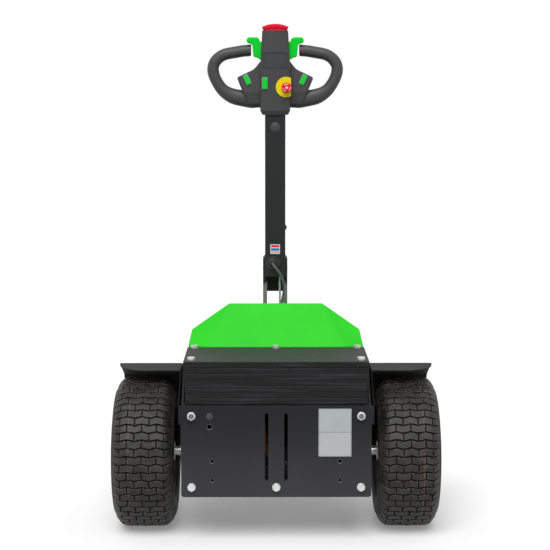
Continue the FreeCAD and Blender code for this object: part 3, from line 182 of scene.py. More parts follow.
def turnPiece(piece, angle, axis, centre):
    openMesh(piece)
    turnAll(angle, axis, centre)
    closeMesh()


def spread(piece, places):
    # the piece stands at the first place, and a copy with its own mesh goes to each of the others
    pieces = [piece]
    for place in places[1:]:
        grab(piece)
        bpy.ops.object.duplicate()
        copy = bpy.context.object
        copy.location = Vector(place) - Vector(places[0])
        applyPlace()
        pieces.append(copy)
    return pieces


def applyArray(piece, count, settings):
    array = piece.modifiers.new("copies", "ARRAY")
    array.count = count
    array.use_relative_offset = False
    for key, value in settings.items():
        setattr(array, key, value)
    bpy.ops.object.modifier_apply(modifier=array.name)


def coatWith(piece, paint):
    if paint is not None:
        piece.data.materials.clear()
        piece.data.materials.append(paint)


def finishPiece(piece, body, slotName=None, paint=None, sharp=35):
    # smooth shading up to the sharp angle, the paint or else the slot's own, and the body that carries it
    grab(piece)
    applyPlace()
    bpy.ops.object.shade_smooth_by_angle(angle=math.radians(sharp))
    coatWith(piece, paint or finishes.get(slotName))
    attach(piece, body)


def middleOf(node):
    low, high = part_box(node)
    return (low + high) / 2


def screen(red, green, blue):
    # 0 to 255 values as linear light
    def straight(value):
        value /= 255
        return value / 12.92 if value <= 0.04045 else ((value + 0.055) / 1.055) ** 2.4
    return (straight(red), straight(green), straight(blue), 1.0)


def tinted(colour, share):
    return (colour[0] * share, colour[1] * share, colour[2] * share, 1.0)


class Signal:
    # a socket that can stand in a sum
    def __init__(self, board, socket):
        self.board = board
        self.socket = socket

    def maths(self, operation, first, second=0.0):
        made = self.board.node("Math", {"operation": operation}, {0: first, 1: second})
        return Signal(self.board, made.outputs[0])

    def __add__(self, other):
        return self.maths("ADD", self, other)

    def __radd__(self, other):
        return self.maths("ADD", other, self)

    def __sub__(self, other):
        return self.maths("SUBTRACT", self, other)

    def __rsub__(self, other):
        return self.maths("SUBTRACT", other, self)

    def __mul__(self, other):
        return self.maths("MULTIPLY", self, other)

    def __abs__(self):
        return self.maths("ABSOLUTE", self)

    def most(self, other):
        return self.maths("MAXIMUM", self, other)

    def beyond(self, low, high):
        # distance outside two limits, below 0 between them
        return abs(self - (low + high) / 2) - (high - low) / 2


class Board:
    # the nodes of one material or world
    def __init__(self, tree):
        self.tree = tree

    def node(self, kind, settings=None, inputs=None):
        made = self.tree.nodes.new("ShaderNode" + kind)
        for key, value in (settings or {}).items():
            setattr(made, key, value)
        for key, value in (inputs or {}).items():
            self.feed(made.inputs[key], value)
        return made

    def feed(self, socket, value):
        if isinstance(value, Signal):
            self.tree.links.new(value.socket, socket)
        elif isinstance(value, bpy.types.NodeSocket):
            self.tree.links.new(value, socket)
        else:
            socket.default_value = value

    def signal(self, kind, settings, inputs, output=0):
        return Signal(self, self.node(kind, settings, inputs).outputs[output])

    def seenStraight(self):
        # 1 for what the camera sees, straight or in metal and glass
        rays = self.node("LightPath").outputs
        straight = Signal(self, rays["Is Camera Ray"]).most(Signal(self, rays["Is Glossy Ray"]))
        return straight.most(Signal(self, rays["Is Transmission Ray"]))

    def mix(self, factor, first, second):
        # sockets 6 and 7 are the two colours, and output 2 is their mix
        made = self.node("Mix", {"data_type": "RGBA"}, {0: factor, 6: first, 7: second})
        return made.outputs[2]


class Finish(Board):
    # one material, with the few nodes that every finish here uses
    def __init__(self, name, colour, roughness=0.5, metallic=0.0, specular=0.5, coat=0.0):
        self.material = bpy.data.materials.new(name)
        self.material.use_nodes = True
        super().__init__(self.material.node_tree)
        self.shader = self.tree.nodes["Principled BSDF"]
        self.give("Specular IOR Level", specular)
        self.give("Coat Weight", coat)
        self.give("Coat Roughness", 0.12)
        self.give("Base Color", colour)
        self.give("Roughness", roughness)
        self.give("Metallic", metallic)
        self.place = self.node("TexCoord").outputs["Object"]
        self.height = None
        self.rounding = None

    def give(self, socketName, value):
        self.feed(self.shader.inputs[socketName], value)

    def stretched(self, stretch):
        return self.node("Mapping", {}, {"Vector": self.place, "Scale": stretch}).outputs[0]

    def noise(self, size, detail=3.0, rough=0.5, stretch=None):
        # size is the spacing of the pattern in metres
        place = self.place if stretch is None else self.stretched(stretch)
        return self.signal("TexNoise", {}, {
            "Vector": place, "Scale": 1 / size, "Detail": detail, "Roughness": rough})

    def cells(self, size):
        return self.signal("TexVoronoi", {"feature": "F1"}, {
            "Vector": self.place, "Scale": 1 / size}, "Distance")

    def fade(self, value, low, high):
        # 0 at low, 1 at high, smooth between
        return self.signal("MapRange", {"interpolation_type": "SMOOTHSTEP"}, {
            "Value": value, "From Min": low, "From Max": high}, "Result")

    def axes(self, vector=None):
        # x, y and z of the place, or of another vector
        made = self.node("SeparateXYZ", {}, {0: self.place if vector is None else vector})
        return [Signal(self, output) for output in made.outputs]

    def facing(self):
        return self.axes(self.node("NewGeometry").outputs["Normal"])

    def edges(self, radius):
        # 1 on an edge or corner, 0 on a flat; the same rounding shades the edge
        self.rounding = self.node("Bevel", {"samples": 4}, {"Radius": radius}).outputs[0]
        flat = self.node("NewGeometry").outputs["Normal"]
        turn = self.signal("VectorMath", {"operation": "DOT_PRODUCT"}, {
            0: self.rounding, 1: flat}, "Value")
        return self.fade(1 - turn, 0.01, 0.12)

    def addHeight(self, height):
        # heights are in metres and add up
        self.height = height if self.height is None else self.height + height

    def done(self):
        if self.height is not None or self.rounding is not None:
            height = 0.0 if self.height is None else self.height
            inputs = {"Strength": 1.0, "Distance": 1.0, "Height": height}
            if self.rounding is not None:
                inputs["Normal"] = self.rounding
            self.give("Normal", self.node("Bump", {}, inputs).outputs[0])
        return self.material


plateLow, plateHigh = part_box("coupling_plate")
dustColour = screen(118, 108, 98)
shadedRubber = screen(14, 14, 14)

# colours run from 0 to 255 and grain is a height in metres; wear is bare metal on the edges; dust lies on
# faces that look up; the top colour is painted shade on faces that look up; the tab colour is painted light
# on faces level with the coupling plate's front; painted floor light is a paler film towards the floor: the
# heights that it fades between and its share
coatBase = {"roughness": 0.5, "specular": 0.2, "grain": 0.00003, "wear": 0.3, "dust": 0.3}
powderCoats = {
    # what each changes in the base
    # the plate's last entry paints light from the floor onto its lower part
    "plate_black": {"colour": (29, 29, 31), "wear": 0.25, "dust": 0.1, "paintedFloorLight": (0.1, 0.36, 0.36)},
    "frame_black": {"colour": (25, 25, 27), "dust": 0.2},
    # the fender's top colour is painted shade on faces that look up
    "chassis_fender": {
        # the fender's tab colour is painted light on faces level with the coupling plate's front
        "colour": (24, 24, 25), "top": (14, 14, 15), "tab": (40, 40, 42), "roughness": 0.55,
        "specular": 0.12, "wear": 0.15, "dust": 0.04},
    "rim_black": {"colour": (30, 30, 31), "roughness": 0.4, "specular": 0.3, "grain": 0.00002},
    # the fork grey is tinted a little pink: a painted tint that cancels the green light reflected from the
    # hood
    "fork_grey": {
        "colour": (124, 118, 123), "roughness": 0.4, "specular": 0.06, "grain": 0.00002,
        "wear": 0.2, "dust": 0.05},
    "tube_black": {"colour": (37, 38, 39), "roughness": 0.48, "wear": 0.04, "dust": 0.05},
    "motor_black": {"colour": (30, 30, 31), "specular": 0.3, "grain": 0.00005},
    "hood_green": {
        "colour": (50, 212, 42), "roughness": 0.42, "specular": 0.15, "grain": 0.00002,
        "wear": 0.0, "dust": 0.0},
}
coatMarks = {
    # the second colour is the painted floor light's film
    "primer": (120, 122, 126), "paintedFloorSheen": (92, 92, 95),
    "edge": 0.0012,  # rounding of the edges
    "tab": (0.0005, 0.004),  # depth behind the plate's front over which the painted light on the tabs fades
}


def powderCoat(name, look):
    look = coatBase | look
    colour = screen(*look["colour"])
    paint = Finish(name, colour, specular=look["specular"])
    patches = paint.noise(0.12, detail=5)
    flecks = paint.noise(0.0016, detail=2)
    tone = paint.mix(paint.fade(patches, 0.35, 0.75) * 0.5, colour, tinted(colour, 1.18))
    edge = paint.edges(coatMarks["edge"])
    worn = edge * paint.fade(paint.noise(0.018, detail=6, rough=0.65), 0.5, 0.62) * look["wear"]
    up = paint.facing()[2]
    dusty = paint.fade(up, 0.3, 0.95) * paint.fade(paint.noise(0.05, detail=6), 0.35, 0.8) * look["dust"]
    if "top" in look:
        # painted shade: faces that look up are painted darker
        tone = paint.mix(paint.fade(up, 0.4, 0.9), tone, screen(*look["top"]))
    if "tab" in look:
        # painted light: the front tabs, which fill the coupling plate's corners, are painted paler like the
        # lit plate
        near, far = coatMarks["tab"]
        behind = paint.fade(paint.axes()[1], plateLow.y + near, plateLow.y + far)
        tone = paint.mix(1 - behind, tone, screen(*look["tab"]))
    tone = paint.mix(dusty, tone, dustColour)
    if "paintedFloorLight" in look:
        # painted floor light: the coat is painted paler towards the floor
        low, high, share = look["paintedFloorLight"]
        paintedFloorSheen = (1 - paint.fade(paint.axes()[2], low, high)) * (0.75 + patches * 0.5) * share
        tone = paint.mix(paintedFloorSheen, tone, screen(*coatMarks["paintedFloorSheen"]))
    paint.give("Base Color", paint.mix(worn, tone, screen(*coatMarks["primer"])))
    paint.give("Roughness", look["roughness"] + patches * 0.12 - 0.06 + dusty * 0.3)
    paint.addHeight(flecks * look["grain"])
    return paint.done()


metals = {
    # stain is the colour of the duller patches
    "zinc": {"colour": (222, 224, 223), "stain": (178, 178, 172), "roughness": 0.32, "metallic": 0.7},
    "bright_steel": {"colour": (214, 215, 214), "stain": (176, 174, 168), "roughness": 0.34, "metallic": 0.7},
    # the axle steel is a paler copy of the bright steel: painted light for the shafts, which sit in shade
    "axle_steel_painted_bright": {"colour": (244, 245, 243), "stain": (212, 211, 207), "roughness": 0.25, "metallic": 1.0},
    # the rod's steel is tinted pink: a painted tint that cancels the green light reflected from the hood
    "rod_steel_painted_tint": {"colour": (234, 222, 233), "stain": (214, 206, 213), "roughness": 0.45, "metallic": 0.1},
    "cast_alloy": {"colour": (118, 119, 121), "stain": (72, 70, 68), "roughness": 0.5, "metallic": 0.5},
    "cast_iron": {"colour": (62, 66, 70), "stain": (44, 42, 40), "roughness": 0.55, "metallic": 0.2},
}


def metal(name, look):
    colour = screen(*look["colour"])
    steel = Finish(name, colour, metallic=look["metallic"])
    stain = steel.fade(steel.noise(0.03, detail=4), 0.4, 0.8)
    edge = steel.edges(0.0008)
    tone = steel.mix(stain * 0.5, colour, screen(*look["stain"]))
    steel.give("Base Color", steel.mix(edge * 0.35, tone, tinted(colour, 1.2)))
    steel.give("Roughness", look["roughness"] + stain * 0.2 + steel.noise(0.004) * 0.08)
    # castings are lumpy, and drawn steel has fine lines
    if name.startswith("cast"):
        steel.addHeight(steel.noise(0.0022, detail=3) * 0.00025)
    else:
        steel.addHeight(steel.noise(0.0008, detail=2, stretch=(0.15, 1, 1)) * 0.000004)
    return steel.done()


ballast = {
    "colour": (25, 25, 26), "worn": (112, 113, 116), "streakHeight": 0.00018, "lumpHeight": 0.0008,
    "streak": (48, 48, 50),  # saw marks across the plates' edges
    "rubbed": (64, 64, 68),  # long lines where the plates were slid over each other
    "top": (60, 60, 60),  # painted sheen: paler grey on faces that look up
}


def ballastPaint():
    colour = screen(*ballast["colour"])
    paint = Finish("ballast_steel", colour, specular=0.15)
    top = paint.fade(paint.facing()[2], 0.5, 0.9)
    streaks = paint.noise(0.0035, detail=4, stretch=(1, 1, 0.12))
    rubbed = paint.fade(paint.noise(0.0045, detail=4, stretch=(0.03, 1, 1)), 0.5, 0.68) * (1 - top)
    lumps = paint.noise(0.05, detail=4, stretch=(1, 1, 2.5))
    edge = paint.edges(0.0014)
    worn = edge * paint.fade(paint.noise(0.025, detail=6, rough=0.65), 0.42, 0.6) * 0.7
    tone = paint.mix(streaks * 0.3 * (1 - top), colour, screen(*ballast["streak"]))
    tone = paint.mix(rubbed * 0.5, tone, screen(*ballast["rubbed"]))
    # painted sheen: faces that look up are painted paler grey
    tone = paint.mix(top * 0.8, tone, screen(*ballast["top"]))
    paint.give("Base Color", paint.mix(worn, tone, screen(*ballast["worn"])))
    paint.give("Roughness", 0.4 + streaks * 0.2 + top * 0.08)
    height = streaks * ballast["streakHeight"] + lumps * ballast["lumpHeight"]
    paint.addHeight(height * (1 - top))
    return paint.done()


plastics = {
    # grain is the height and the spacing of the moulded pimples
    "head_plastic": {"colour": (73, 73, 74), "roughness": 0.5, "specular": 0.25, "grain": (0.00005, 0.0009)},
    "castor_core": {"colour": (84, 85, 88), "roughness": 0.55, "specular": 0.4, "grain": (0.00005, 0.0012)},
    "gland_plastic": {"colour": (38, 38, 40), "roughness": 0.42, "specular": 0.4, "grain": (0.00003, 0.0008)},
    "battery_case": {"colour": (46, 47, 50), "roughness": 0.5, "specular": 0.4, "grain": (0.00008, 0.0016)},
    "green_plastic": {"colour": (0, 232, 50), "roughness": 0.32, "specular": 0.18, "grain": (0.00001, 0.002)},
    "red_plastic": {"colour": (255, 0, 48), "roughness": 0.26, "specular": 0.25, "grain": (0.00001, 0.002)},
    "yellow_plastic": {
        "colour": (255, 238, 16), "roughness": 0.4, "specular": 0.15, "grain": (0.00001, 0.002)},
    "plugPlastic": {"colour": (70, 70, 72), "roughness": 0.42, "specular": 0.3, "grain": (0.00001, 0.001)},
    "rimPlastic": {"colour": (122, 148, 148), "roughness": 0.4, "specular": 0.3, "grain": (0.00001, 0.001)},
    "whitePlastic": {
        "colour": (236, 236, 236), "roughness": 0.3, "specular": 0.4, "coat": 0.1, "grain": (0.00001, 0.001)},
}


def plastic(name, look):
    colour = screen(*look["colour"])
    shell = Finish(name, colour, specular=look["specular"], coat=look.get("coat", 0.0))
    patches = shell.noise(0.03, detail=4)
    edge = shell.edges(0.0008)
    tone = shell.mix(patches * 0.3, tinted(colour, 0.92), tinted(colour, 1.06))
    shell.give("Base Color", shell.mix(edge * 0.12, tone, tinted(colour, 1.3)))
    shell.give("Roughness", look["roughness"] + patches * 0.14 - 0.07 - edge * 0.08)
    height, spacing = look["grain"]
    shell.addHeight(shell.cells(spacing) * height)
    return shell.done()


headMarks = {
    "field": (0.0315, 1.2365, 1.2805),  # half width, low and high of the bare field
    "fieldBack": 0.21,  # the field ends in front of this y
    "fieldColour": (63, 65, 68),
    "seamColour": (22, 22, 22),  # also the field's rim
    "seamFoot": (0.08235, 1.141),  # x and z of a point of the joint
    "seamLean": 0.348,  # radians from upright
    "seamLow": (1.136, 1.14),  # where it fades at its low end, its top and its back
    "seamTop": (1.196, 1.204),
    "seamBack": (0.226, 0.23),
    "seamDeep": 0.0003,
}


def headShell(name, look):
    # the moulding with a bare field, and the dark joints where its wings meet the grips
    colour = screen(*look["colour"])
    seamColour = screen(*headMarks["seamColour"])
    shell = Finish(name, colour, specular=look["specular"])
    x, y, z = shell.axes()
    patches = shell.noise(0.03, detail=4)
    tone = shell.mix(patches * 0.4, tinted(colour, 0.88), tinted(colour, 1.08))
    tone = shell.mix(shell.edges(0.001) * 0.2, tone, tinted(colour, 1.4))
    half, low, high = headMarks["field"]
    outside = (abs(x) - half).most(z.beyond(low, high)).most(y - headMarks["fieldBack"])
    inside = 1 - shell.fade(outside, -0.0004, 0.0002)
    tone = shell.mix(inside * 0.8, tone, screen(*headMarks["fieldColour"]))
    rim = (1 - shell.fade(abs(outside + 0.0002), 0.0003, 0.0009)) * 0.7
    tone = shell.mix(rim, tone, seamColour)
    foot, up = headMarks["seamFoot"]
    lean = headMarks["seamLean"]
    fromSeam = (abs(x) - foot) * math.cos(lean) - (z - up) * math.sin(lean)
    seam = (1 - shell.fade(abs(fromSeam), 0.0006, 0.0012)) * shell.fade(z, *headMarks["seamLow"])
    for along, end in ((z, "seamTop"), (y, "seamBack")):
        seam = seam * (1 - shell.fade(along, *headMarks[end]))
    shell.give("Base Color", shell.mix(seam * 0.9, tone, seamColour))
    shell.give("Roughness", look["roughness"] + patches * 0.14 - 0.07 - inside * 0.12)
    height, spacing = look["grain"]
    shell.addHeight(shell.cells(spacing) * height * (1 - inside) - seam * headMarks["seamDeep"])
    return shell.done()


rubbers = {
    # the under share is painted shade: how far undersides are painted darker, and it also paints the tops
    # paler
    "castor_rubber": {"colour": (54, 54, 56), "roughness": 0.66, "grain": (0.00006, 0.0015), "dust": 0.5},
    "grip_rubber": {
        "colour": (62, 62, 63), "roughness": 0.42, "grain": (0.00005, 0.001), "dust": 0.06, "under": 0.85},
    "cable_jacket": {"colour": (84, 85, 88), "roughness": 0.45, "grain": (0.00002, 0.001), "dust": 0.05},
    "power_cable": {"colour": (118, 58, 34), "roughness": 0.45, "grain": (0.00002, 0.001), "dust": 0.2},
}


def rubber(name, look):
    colour = screen(*look["colour"])
    skin = Finish(name, colour, specular=0.45)
    patches = skin.noise(0.02, detail=6, rough=0.6)
    dusty = skin.fade(patches, 0.45, 0.75) * look["dust"]
    tone = skin.mix(dusty, colour, dustColour)
    if "under" in look:
        # painted shade on the undersides and painted light on the tops
        up = skin.facing()[2]
        tone = skin.mix(skin.fade(up * -1, -0.1, 0.85) * look["under"], tone, shadedRubber)
        tone = skin.mix(skin.fade(up, 0.2, 0.9) * 0.3, tone, tinted(colour, 1.5))
    skin.give("Base Color", tone)
    skin.give("Roughness", look["roughness"] + dusty * 0.25 + patches * 0.08)
    height, spacing = look["grain"]
    skin.addHeight(skin.noise(spacing, detail=2) * height)
    return skin.done()


finishes = {}
for looks, make in ((powderCoats, powderCoat), (metals, metal), (plastics, plastic), (rubbers, rubber)):
    finishes.update({name: make(name, look) for name, look in looks.items()})
finishes["head_shell"] = headShell("head_shell", plastics["head_plastic"])
finishes["ballast_steel"] = ballastPaint()

# these nodes get another finish than the rest of their slot
ownFinish = {
    "axle_shaft_left": "axle_steel_painted_bright",
    "axle_shaft_right": "axle_steel_painted_bright",
    "gas_spring_rod": "rod_steel_painted_tint",
    "control_head": "head_shell",
}
slotOf = {part["node"]: part["material_slot"] for part in frame["record"]["subparts"]}
for name, node in nodes.items():
    coatWith(node, finishes.get(ownFinish.get(name, slotOf[name])))
print("finishes made:", len(finishes))


tyre = {
    "rows": 60,  # rows of tread blocks round the wheel
    "pitch": 0.0383,  # one block and its groove across the tread
    "treadHalf": 0.0745, "groove": 0.0042, "rowGroove": 0.005, "deep": 0.0068, "steps": 144,
    "wave": 0.0021,  # how far the rows wander
    "sunk": 0.0004,  # how far the blocks reach into the floor of the grooves
    "ease": 0.0009,  # rounding of the blocks' top edges
    "flatHalf": 0.0485,  # the crown falls by flatDrop up to here, then by shoulderDrop
    "flatDrop": 0.001,
    "shoulderWide": 0.026, "shoulderDrop": 0.019, "shoulderBend": 2.2,
    "floorAt": (0, 0.024, 0.0485, 0.06, 0.068),
    # distance from the middle plane and from the axle: shoulder, wall, rim guard and bead
    "wall": [
        (0.0738, 0.1765), (0.0772, 0.1722), (0.0794, 0.168), (0.0803, 0.1668), (0.0811, 0.165),
        (0.0818, 0.16), (0.0824, 0.1552), (0.0823, 0.1492), (0.0815, 0.143), (0.08, 0.137),
        (0.0782, 0.132), (0.0788, 0.1306), (0.0778, 0.1282), (0.0756, 0.1262), (0.0738, 0.126),
        (0.0716, 0.1218), (0.0683, 0.1172), (0.0668, 0.1142), (0.0636, 0.1128), (0.056, 0.11)],
}
tyreLooks = {
    "tyreCase": {"low": (34, 34, 34), "high": (44, 43, 43), "specular": 0.3,
                 "roughness": 0.6, "dust": 0.3, "mudAndEdgeSheen": 0.15},
    "tyreBlocks": {"low": (20, 20, 22), "high": (34, 34, 36), "specular": 0.36,
                   "roughness": 0.44, "dust": 0.2, "mudAndEdgeSheen": 1.0},
    "treadFloor": {"low": (24, 24, 24), "high": (40, 38, 36), "specular": 0.2,
                   "roughness": 0.8, "dust": 0.1, "mudAndEdgeSheen": 0.0},
}
tyreMarks = {
    "dust": (104, 98, 92),
    "mudAndEdgeSheen": (152, 140, 129),  # dried mud on the edges of the blocks, and a painted highlight on them too
    "line": (150, 100, 90),  # thin mark that a new tyre carries round its tread
    "lineAt": 0.0345,  # how far it lies outside the tyre's middle plane
}
wheelMiddle, _, tyreRadius = middleOf("tyre_right")


def crown(across):
    # height of the tread above the axle at a distance from the wheel's middle plane
    across = abs(across)
    flat = tyre["flatHalf"]
    drop = tyre["flatDrop"] * min(1.0, across / flat)
    turn = min(1.0, max(0.0, (across - flat) / tyre["shoulderWide"]))
    return tyreRadius - drop - tyre["shoulderDrop"] * turn ** tyre["shoulderBend"]


def fromAxle(place, centre):
    return math.hypot(place.y - centre.y, place.z - centre.z)


def tyrePaint(name, look):
    skin = Finish(name, screen(*look["low"]), specular=look["specular"])
    patches = skin.noise(0.03, detail=7, rough=0.62)
    fine = skin.noise(0.0022, detail=4, rough=0.6)
    tone = skin.mix(skin.fade(patches, 0.3, 0.7), screen(*look["low"]), screen(*look["high"]))
    dusty = skin.fade(patches * 0.6 + fine * 0.4, 0.42, 0.66) * look["dust"]
    tone = skin.mix(dusty, tone, screen(*tyreMarks["dust"]))
    # pale edges of the blocks: dried mud and a painted edge highlight
    mudAndEdgeSheen = skin.edges(0.0015) * skin.fade(skin.noise(0.012, detail=5), 0.4, 0.54) * look["mudAndEdgeSheen"]
    tone = skin.mix(mudAndEdgeSheen, tone, screen(*tyreMarks["mudAndEdgeSheen"]))
    across = abs(abs(skin.axes()[0]) - wheelMiddle - tyreMarks["lineAt"])
    line = (1 - skin.fade(across, 0.0007, 0.0017)) * skin.fade(skin.noise(0.011, detail=5), 0.45, 0.6)
    skin.give("Base Color", skin.mix(line * 0.55, tone, screen(*tyreMarks["line"])))
    skin.give("Roughness", look["roughness"] + dusty * 0.25 + fine * 0.1)
    skin.addHeight(fine * 0.00012)
    return skin.done()


def blocksBetween(cuts):
    # the blocks of one row, with a groove at each cut
    gap = tyre["groove"] / 2
    starts = [-tyre["treadHalf"]] + [cut + gap for cut in cuts]
    ends = [cut - gap for cut in cuts] + [tyre["treadHalf"]]
    return list(zip(starts, ends))


def treadRow(name, centre, cuts):
    # a strip of the crown is cut into blocks, waved, and given its depth
    half = (2 * math.pi / tyre["rows"] - tyre["rowGroove"] / centre.z) / 2
    columns = [low + (high - low) * share / 4 for low, high in blocksBetween(cuts) for share in range(5)]
    row = drawLine(name, [(centre.x + across, centre.y, centre.z + crown(across)) for across in columns])
    turnAll(-half, "X", centre)
    bpy.ops.mesh.spin(steps=2, angle=2 * half, center=centre, axis=(1, 0, 0))
    pickFaces(lambda middle, normal: any(abs(middle.x - centre.x - cut) < 0.001 for cut in cuts))
    bpy.ops.mesh.delete(type="FACE")
    for across in columns:
        swing = tyre["wave"] * math.cos(2 * math.pi * across / tyre["pitch"]) / centre.z
        pickPoints(lambda place: abs(place.x - centre.x - across) < 0.0002)
        bpy.ops.transform.rotate(value=swing, orient_axis="X", center_override=centre)
    selectAll()
    bpy.ops.mesh.normals_make_consistent(inside=False)
    bpy.ops.mesh.extrude_region_shrink_fatten(TRANSFORM_OT_shrink_fatten={"value": -tyre["deep"]})
    tidyMesh()
    # only the top edges of each block are eased
    bpy.ops.mesh.edges_select_sharp(sharpness=math.radians(50))
    shape = bmesh.from_edit_mesh(row.data)
    for edge in shape.edges:
        middle = (edge.verts[0].co + edge.verts[1].co) / 2
        foot = crown(middle.x - centre.x) - tyre["deep"] * 0.4
        if fromAxle(middle, centre) < foot or edge.calc_face_angle(0) < 0.8:
            edge.select_set(False)
    bmesh.update_edit_mesh(row.data)
    bpy.ops.mesh.bevel(offset=tyre["ease"], segments=2, affect="EDGES")
    closeMesh()
    return row


def roundTheWheel(piece, centre, count):
    # copies by an array whose step is a turn about the axle
    clearSelection()
    bpy.ops.object.empty_add(location=centre, rotation=(2 * math.pi / count, 0, 0))
    stepper = bpy.context.object
    grab(piece)
    bpy.context.scene.cursor.location = centre
    bpy.ops.object.origin_set(type="ORIGIN_CURSOR")
    applyArray(piece, count, {"use_object_offset": True, "offset_object": stepper})
    bpy.data.objects.remove(stepper)
    applyPlace()


def turfTyre(centre):
    pitch = tyre["pitch"]
    first = treadRow("treadBlocks", centre, [-pitch, 0, pitch])
    second = treadRow("treadBlocksBetween", centre, [share * pitch for share in (-1.5, -0.5, 0.5, 1.5)])
    turnPiece(second, 2 * math.pi / tyre["rows"], "X", centre)
    blocks = joined("treadBlocks", [first, second])
    roundTheWheel(blocks, centre, tyre["rows"] // 2)
    blocks.data.materials.append(finishes["tyreBlocks"])
    deep = tyre["deep"] - tyre["sunk"]
    grooveFloor = [(across, crown(across) - deep) for across in tyre["floorAt"]]
    half = grooveFloor + tyre["wall"]
    profile = [(-across, up) for across, up in reversed(half[1:])] + half
    points = [(centre.x + across, centre.y, centre.z + up) for across, up in profile]
    body = spinLine("turf_tyre", points, centre, (1, 0, 0), tyre["steps"])
    body.data.materials.append(finishes["tyreCase"])
    body.data.materials.append(finishes["treadFloor"])
    openMesh(body)
    floorHalf, floorLow = grooveFloor[-1]
    pickFaces(lambda middle, normal: (
        abs(middle.x - centre.x) < floorHalf and fromAxle(middle, centre) > floorLow - 0.002))
    body.active_material_index = 1
    bpy.ops.object.material_slot_assign()
    closeMesh()
    return joined(body.name, [body, blocks])


finishes.update({name: tyrePaint(name, look) for name, look in tyreLooks.items()})
centres = [middleOf("tyre_left"), middleOf("tyre_right")]
for side, body in zip(("left", "right"), spread(turfTyre(centres[0]), centres)):
    body.name = "turf_tyre_" + side
    finishPiece(body, "wheel_" + side, "tyre_rubber", sharp=40)
    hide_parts("tyre_" + side)
print("tyres made")


label = {
    "across": (0.109, 0.1935), "up": (0.231, 0.356), "thick": 0.0006, "corner": 0.0015,
    "split": 0.2948,  # height of the line across
    "frameIn": 0.002,  # from the card's edge to its printed frame
    "upper": (190, 196, 196), "lower": (197, 200, 200), "soil": (156, 158, 156),
    "frame": (90, 92, 92), "line": (96, 98, 98),
}


def labelPaint():
    # bare pale card with a printed frame and a line across
    card = Finish("labelCard", screen(*label["upper"]), specular=0.2)
    x, _, z = card.axes()
    fromEdge = x.beyond(*label["across"]).most(z.beyond(*label["up"]))
    frameLine = 1 - card.fade(abs(fromEdge + label["frameIn"]), 0.0002, 0.0006)
    split = 1 - card.fade(abs(z - label["split"]), 0.0005, 0.0009)
    soil = card.fade(card.noise(0.03, detail=6, rough=0.6), 0.45, 0.75)
    lower = 1 - card.fade(z, label["split"] - 0.0002, label["split"] + 0.0002)
    tone = card.mix(lower, screen(*label["upper"]), screen(*label["lower"]))
    tone = card.mix(soil * 0.2, tone, screen(*label["soil"]))
    tone = card.mix(frameLine * 0.35, tone, screen(*label["frame"]))
    card.give("Base Color", card.mix(split * 0.8, tone, screen(*label["line"])))
    card.give("Roughness", 0.38 + soil * 0.15)
    card.addHeight(card.noise(0.004, detail=3) * 0.00002)
    return card.done()


def blankLabel():
    card = standingPlate("blank_label", label, plateLow.y - label["thick"] / 2)
    finishPiece(card, "chassis", paint=labelPaint())


plateFittings = {
    "plug": (-0.172, 0.336, 0.0085),  # x, z and radius
    "pinHole": (-0.172, 0.308, 0.007),
    "screwHoles": [(x, z) for x in (-0.165, 0.165) for z in (0.2175, 0.1675)],
    "screwHoleRadius": 0.00525,
    "lining": 0.0007,  # thick paint in a hole
    "boltHalf": (0.009, 0.0104),  # half of a bolt's hexagon along x and z
    "flange": (0.0055, 0.0107),  # inner and outer radius
    "upperLift": 0.0003,  # the upper flanges stand on the fenders' tabs
}


def platePlug():
    x, z, radius = plateFittings["plug"]
    dome = [(-0.0002, radius * 1.05), (0.0007, radius * 1.05), (0.0012, radius * 0.94),
            (0.0009, radius * 0.8), (0.0016, radius * 0.66), (0.0021, radius * 0.35), (0.0022, 0)]
    plug = turned("plate_plug", dome, (x, plateLow.y, z), (0, -1, 0))
    finishPiece(plug, "chassis", "gland_plastic", finishes["plugPlastic"])


def holeLining(place, radius):
    bore = radius - plateFittings["lining"]
    sleeve = [(0.0001, radius + 0.0006), (0.0001, radius), (-0.0009, bore), (-0.006, bore),
              (-0.006, radius + 0.0001), (-0.0003, radius + 0.0001), (0.0001, radius + 0.0006)]
    return turned("lining", sleeve, place, (0, -1, 0), 28)


def holeLinings():
    # a thin rim of thick paint round each hole
    places = [(x, plateLow.y, z) for x, z in plateFittings["screwHoles"]]
    linings = spread(holeLining(places[0], plateFittings["screwHoleRadius"]), places)
    x, z, radius = plateFittings["pinHole"]
    linings.append(holeLining((x, plateLow.y, z), radius))
    finishPiece(joined("hole_linings", linings), "chassis", "fork_grey")


def plateBolts():
    # a flange under each hexagon head and a dish in its face; the two upper ones have a six-sided socket
    low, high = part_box("coupling_plate_bolts")
    insetX, insetZ = plateFittings["boltHalf"]
    left, right = low.x + insetX, high.x - insetX
    lower = [(x, low.y, low.z + insetZ) for x in (left, 0, right)]
    upper = [(x, low.y, high.z - insetZ) for x in (left, right)]
    inner, outer = plateFittings["flange"]
    dish = [(-0.0001, 0.0078), (0.0004, 0.0076), (0.0005, 0.0066), (0.0002, 0.0058), (0.0002, 0)]
    flanges = []
    for heads, foot in ((lower, 0), (upper, plateFittings["upperLift"])):
        ring = [(foot, inner), (foot, outer), (0.0011, outer), (0.0016, outer - 0.0006), (0.0016, inner),
                (foot, inner)]
        onPlate = (left, plateLow.y, heads[0][2])
        flanges += spread(turned("flange", ring, onPlate, (0, -1, 0), 28), heads)
        flanges += spread(turned("dish", dish, heads[0], (0, -1, 0), 28), heads)
    socket = [(0.0004, 0.008), (0.0011, 0.0076), (0.0011, 0.0042), (0.0006, 0.0038), (0.0006, 0)]
    sockets = spread(turned("socket", socket, upper[0], (0, -1, 0), 6), upper)
    finishPiece(joined("plate_bolt_flanges", flanges), "chassis", "zinc")
    finishPiece(joined("plate_bolt_sockets", sockets), "chassis", "cast_alloy")


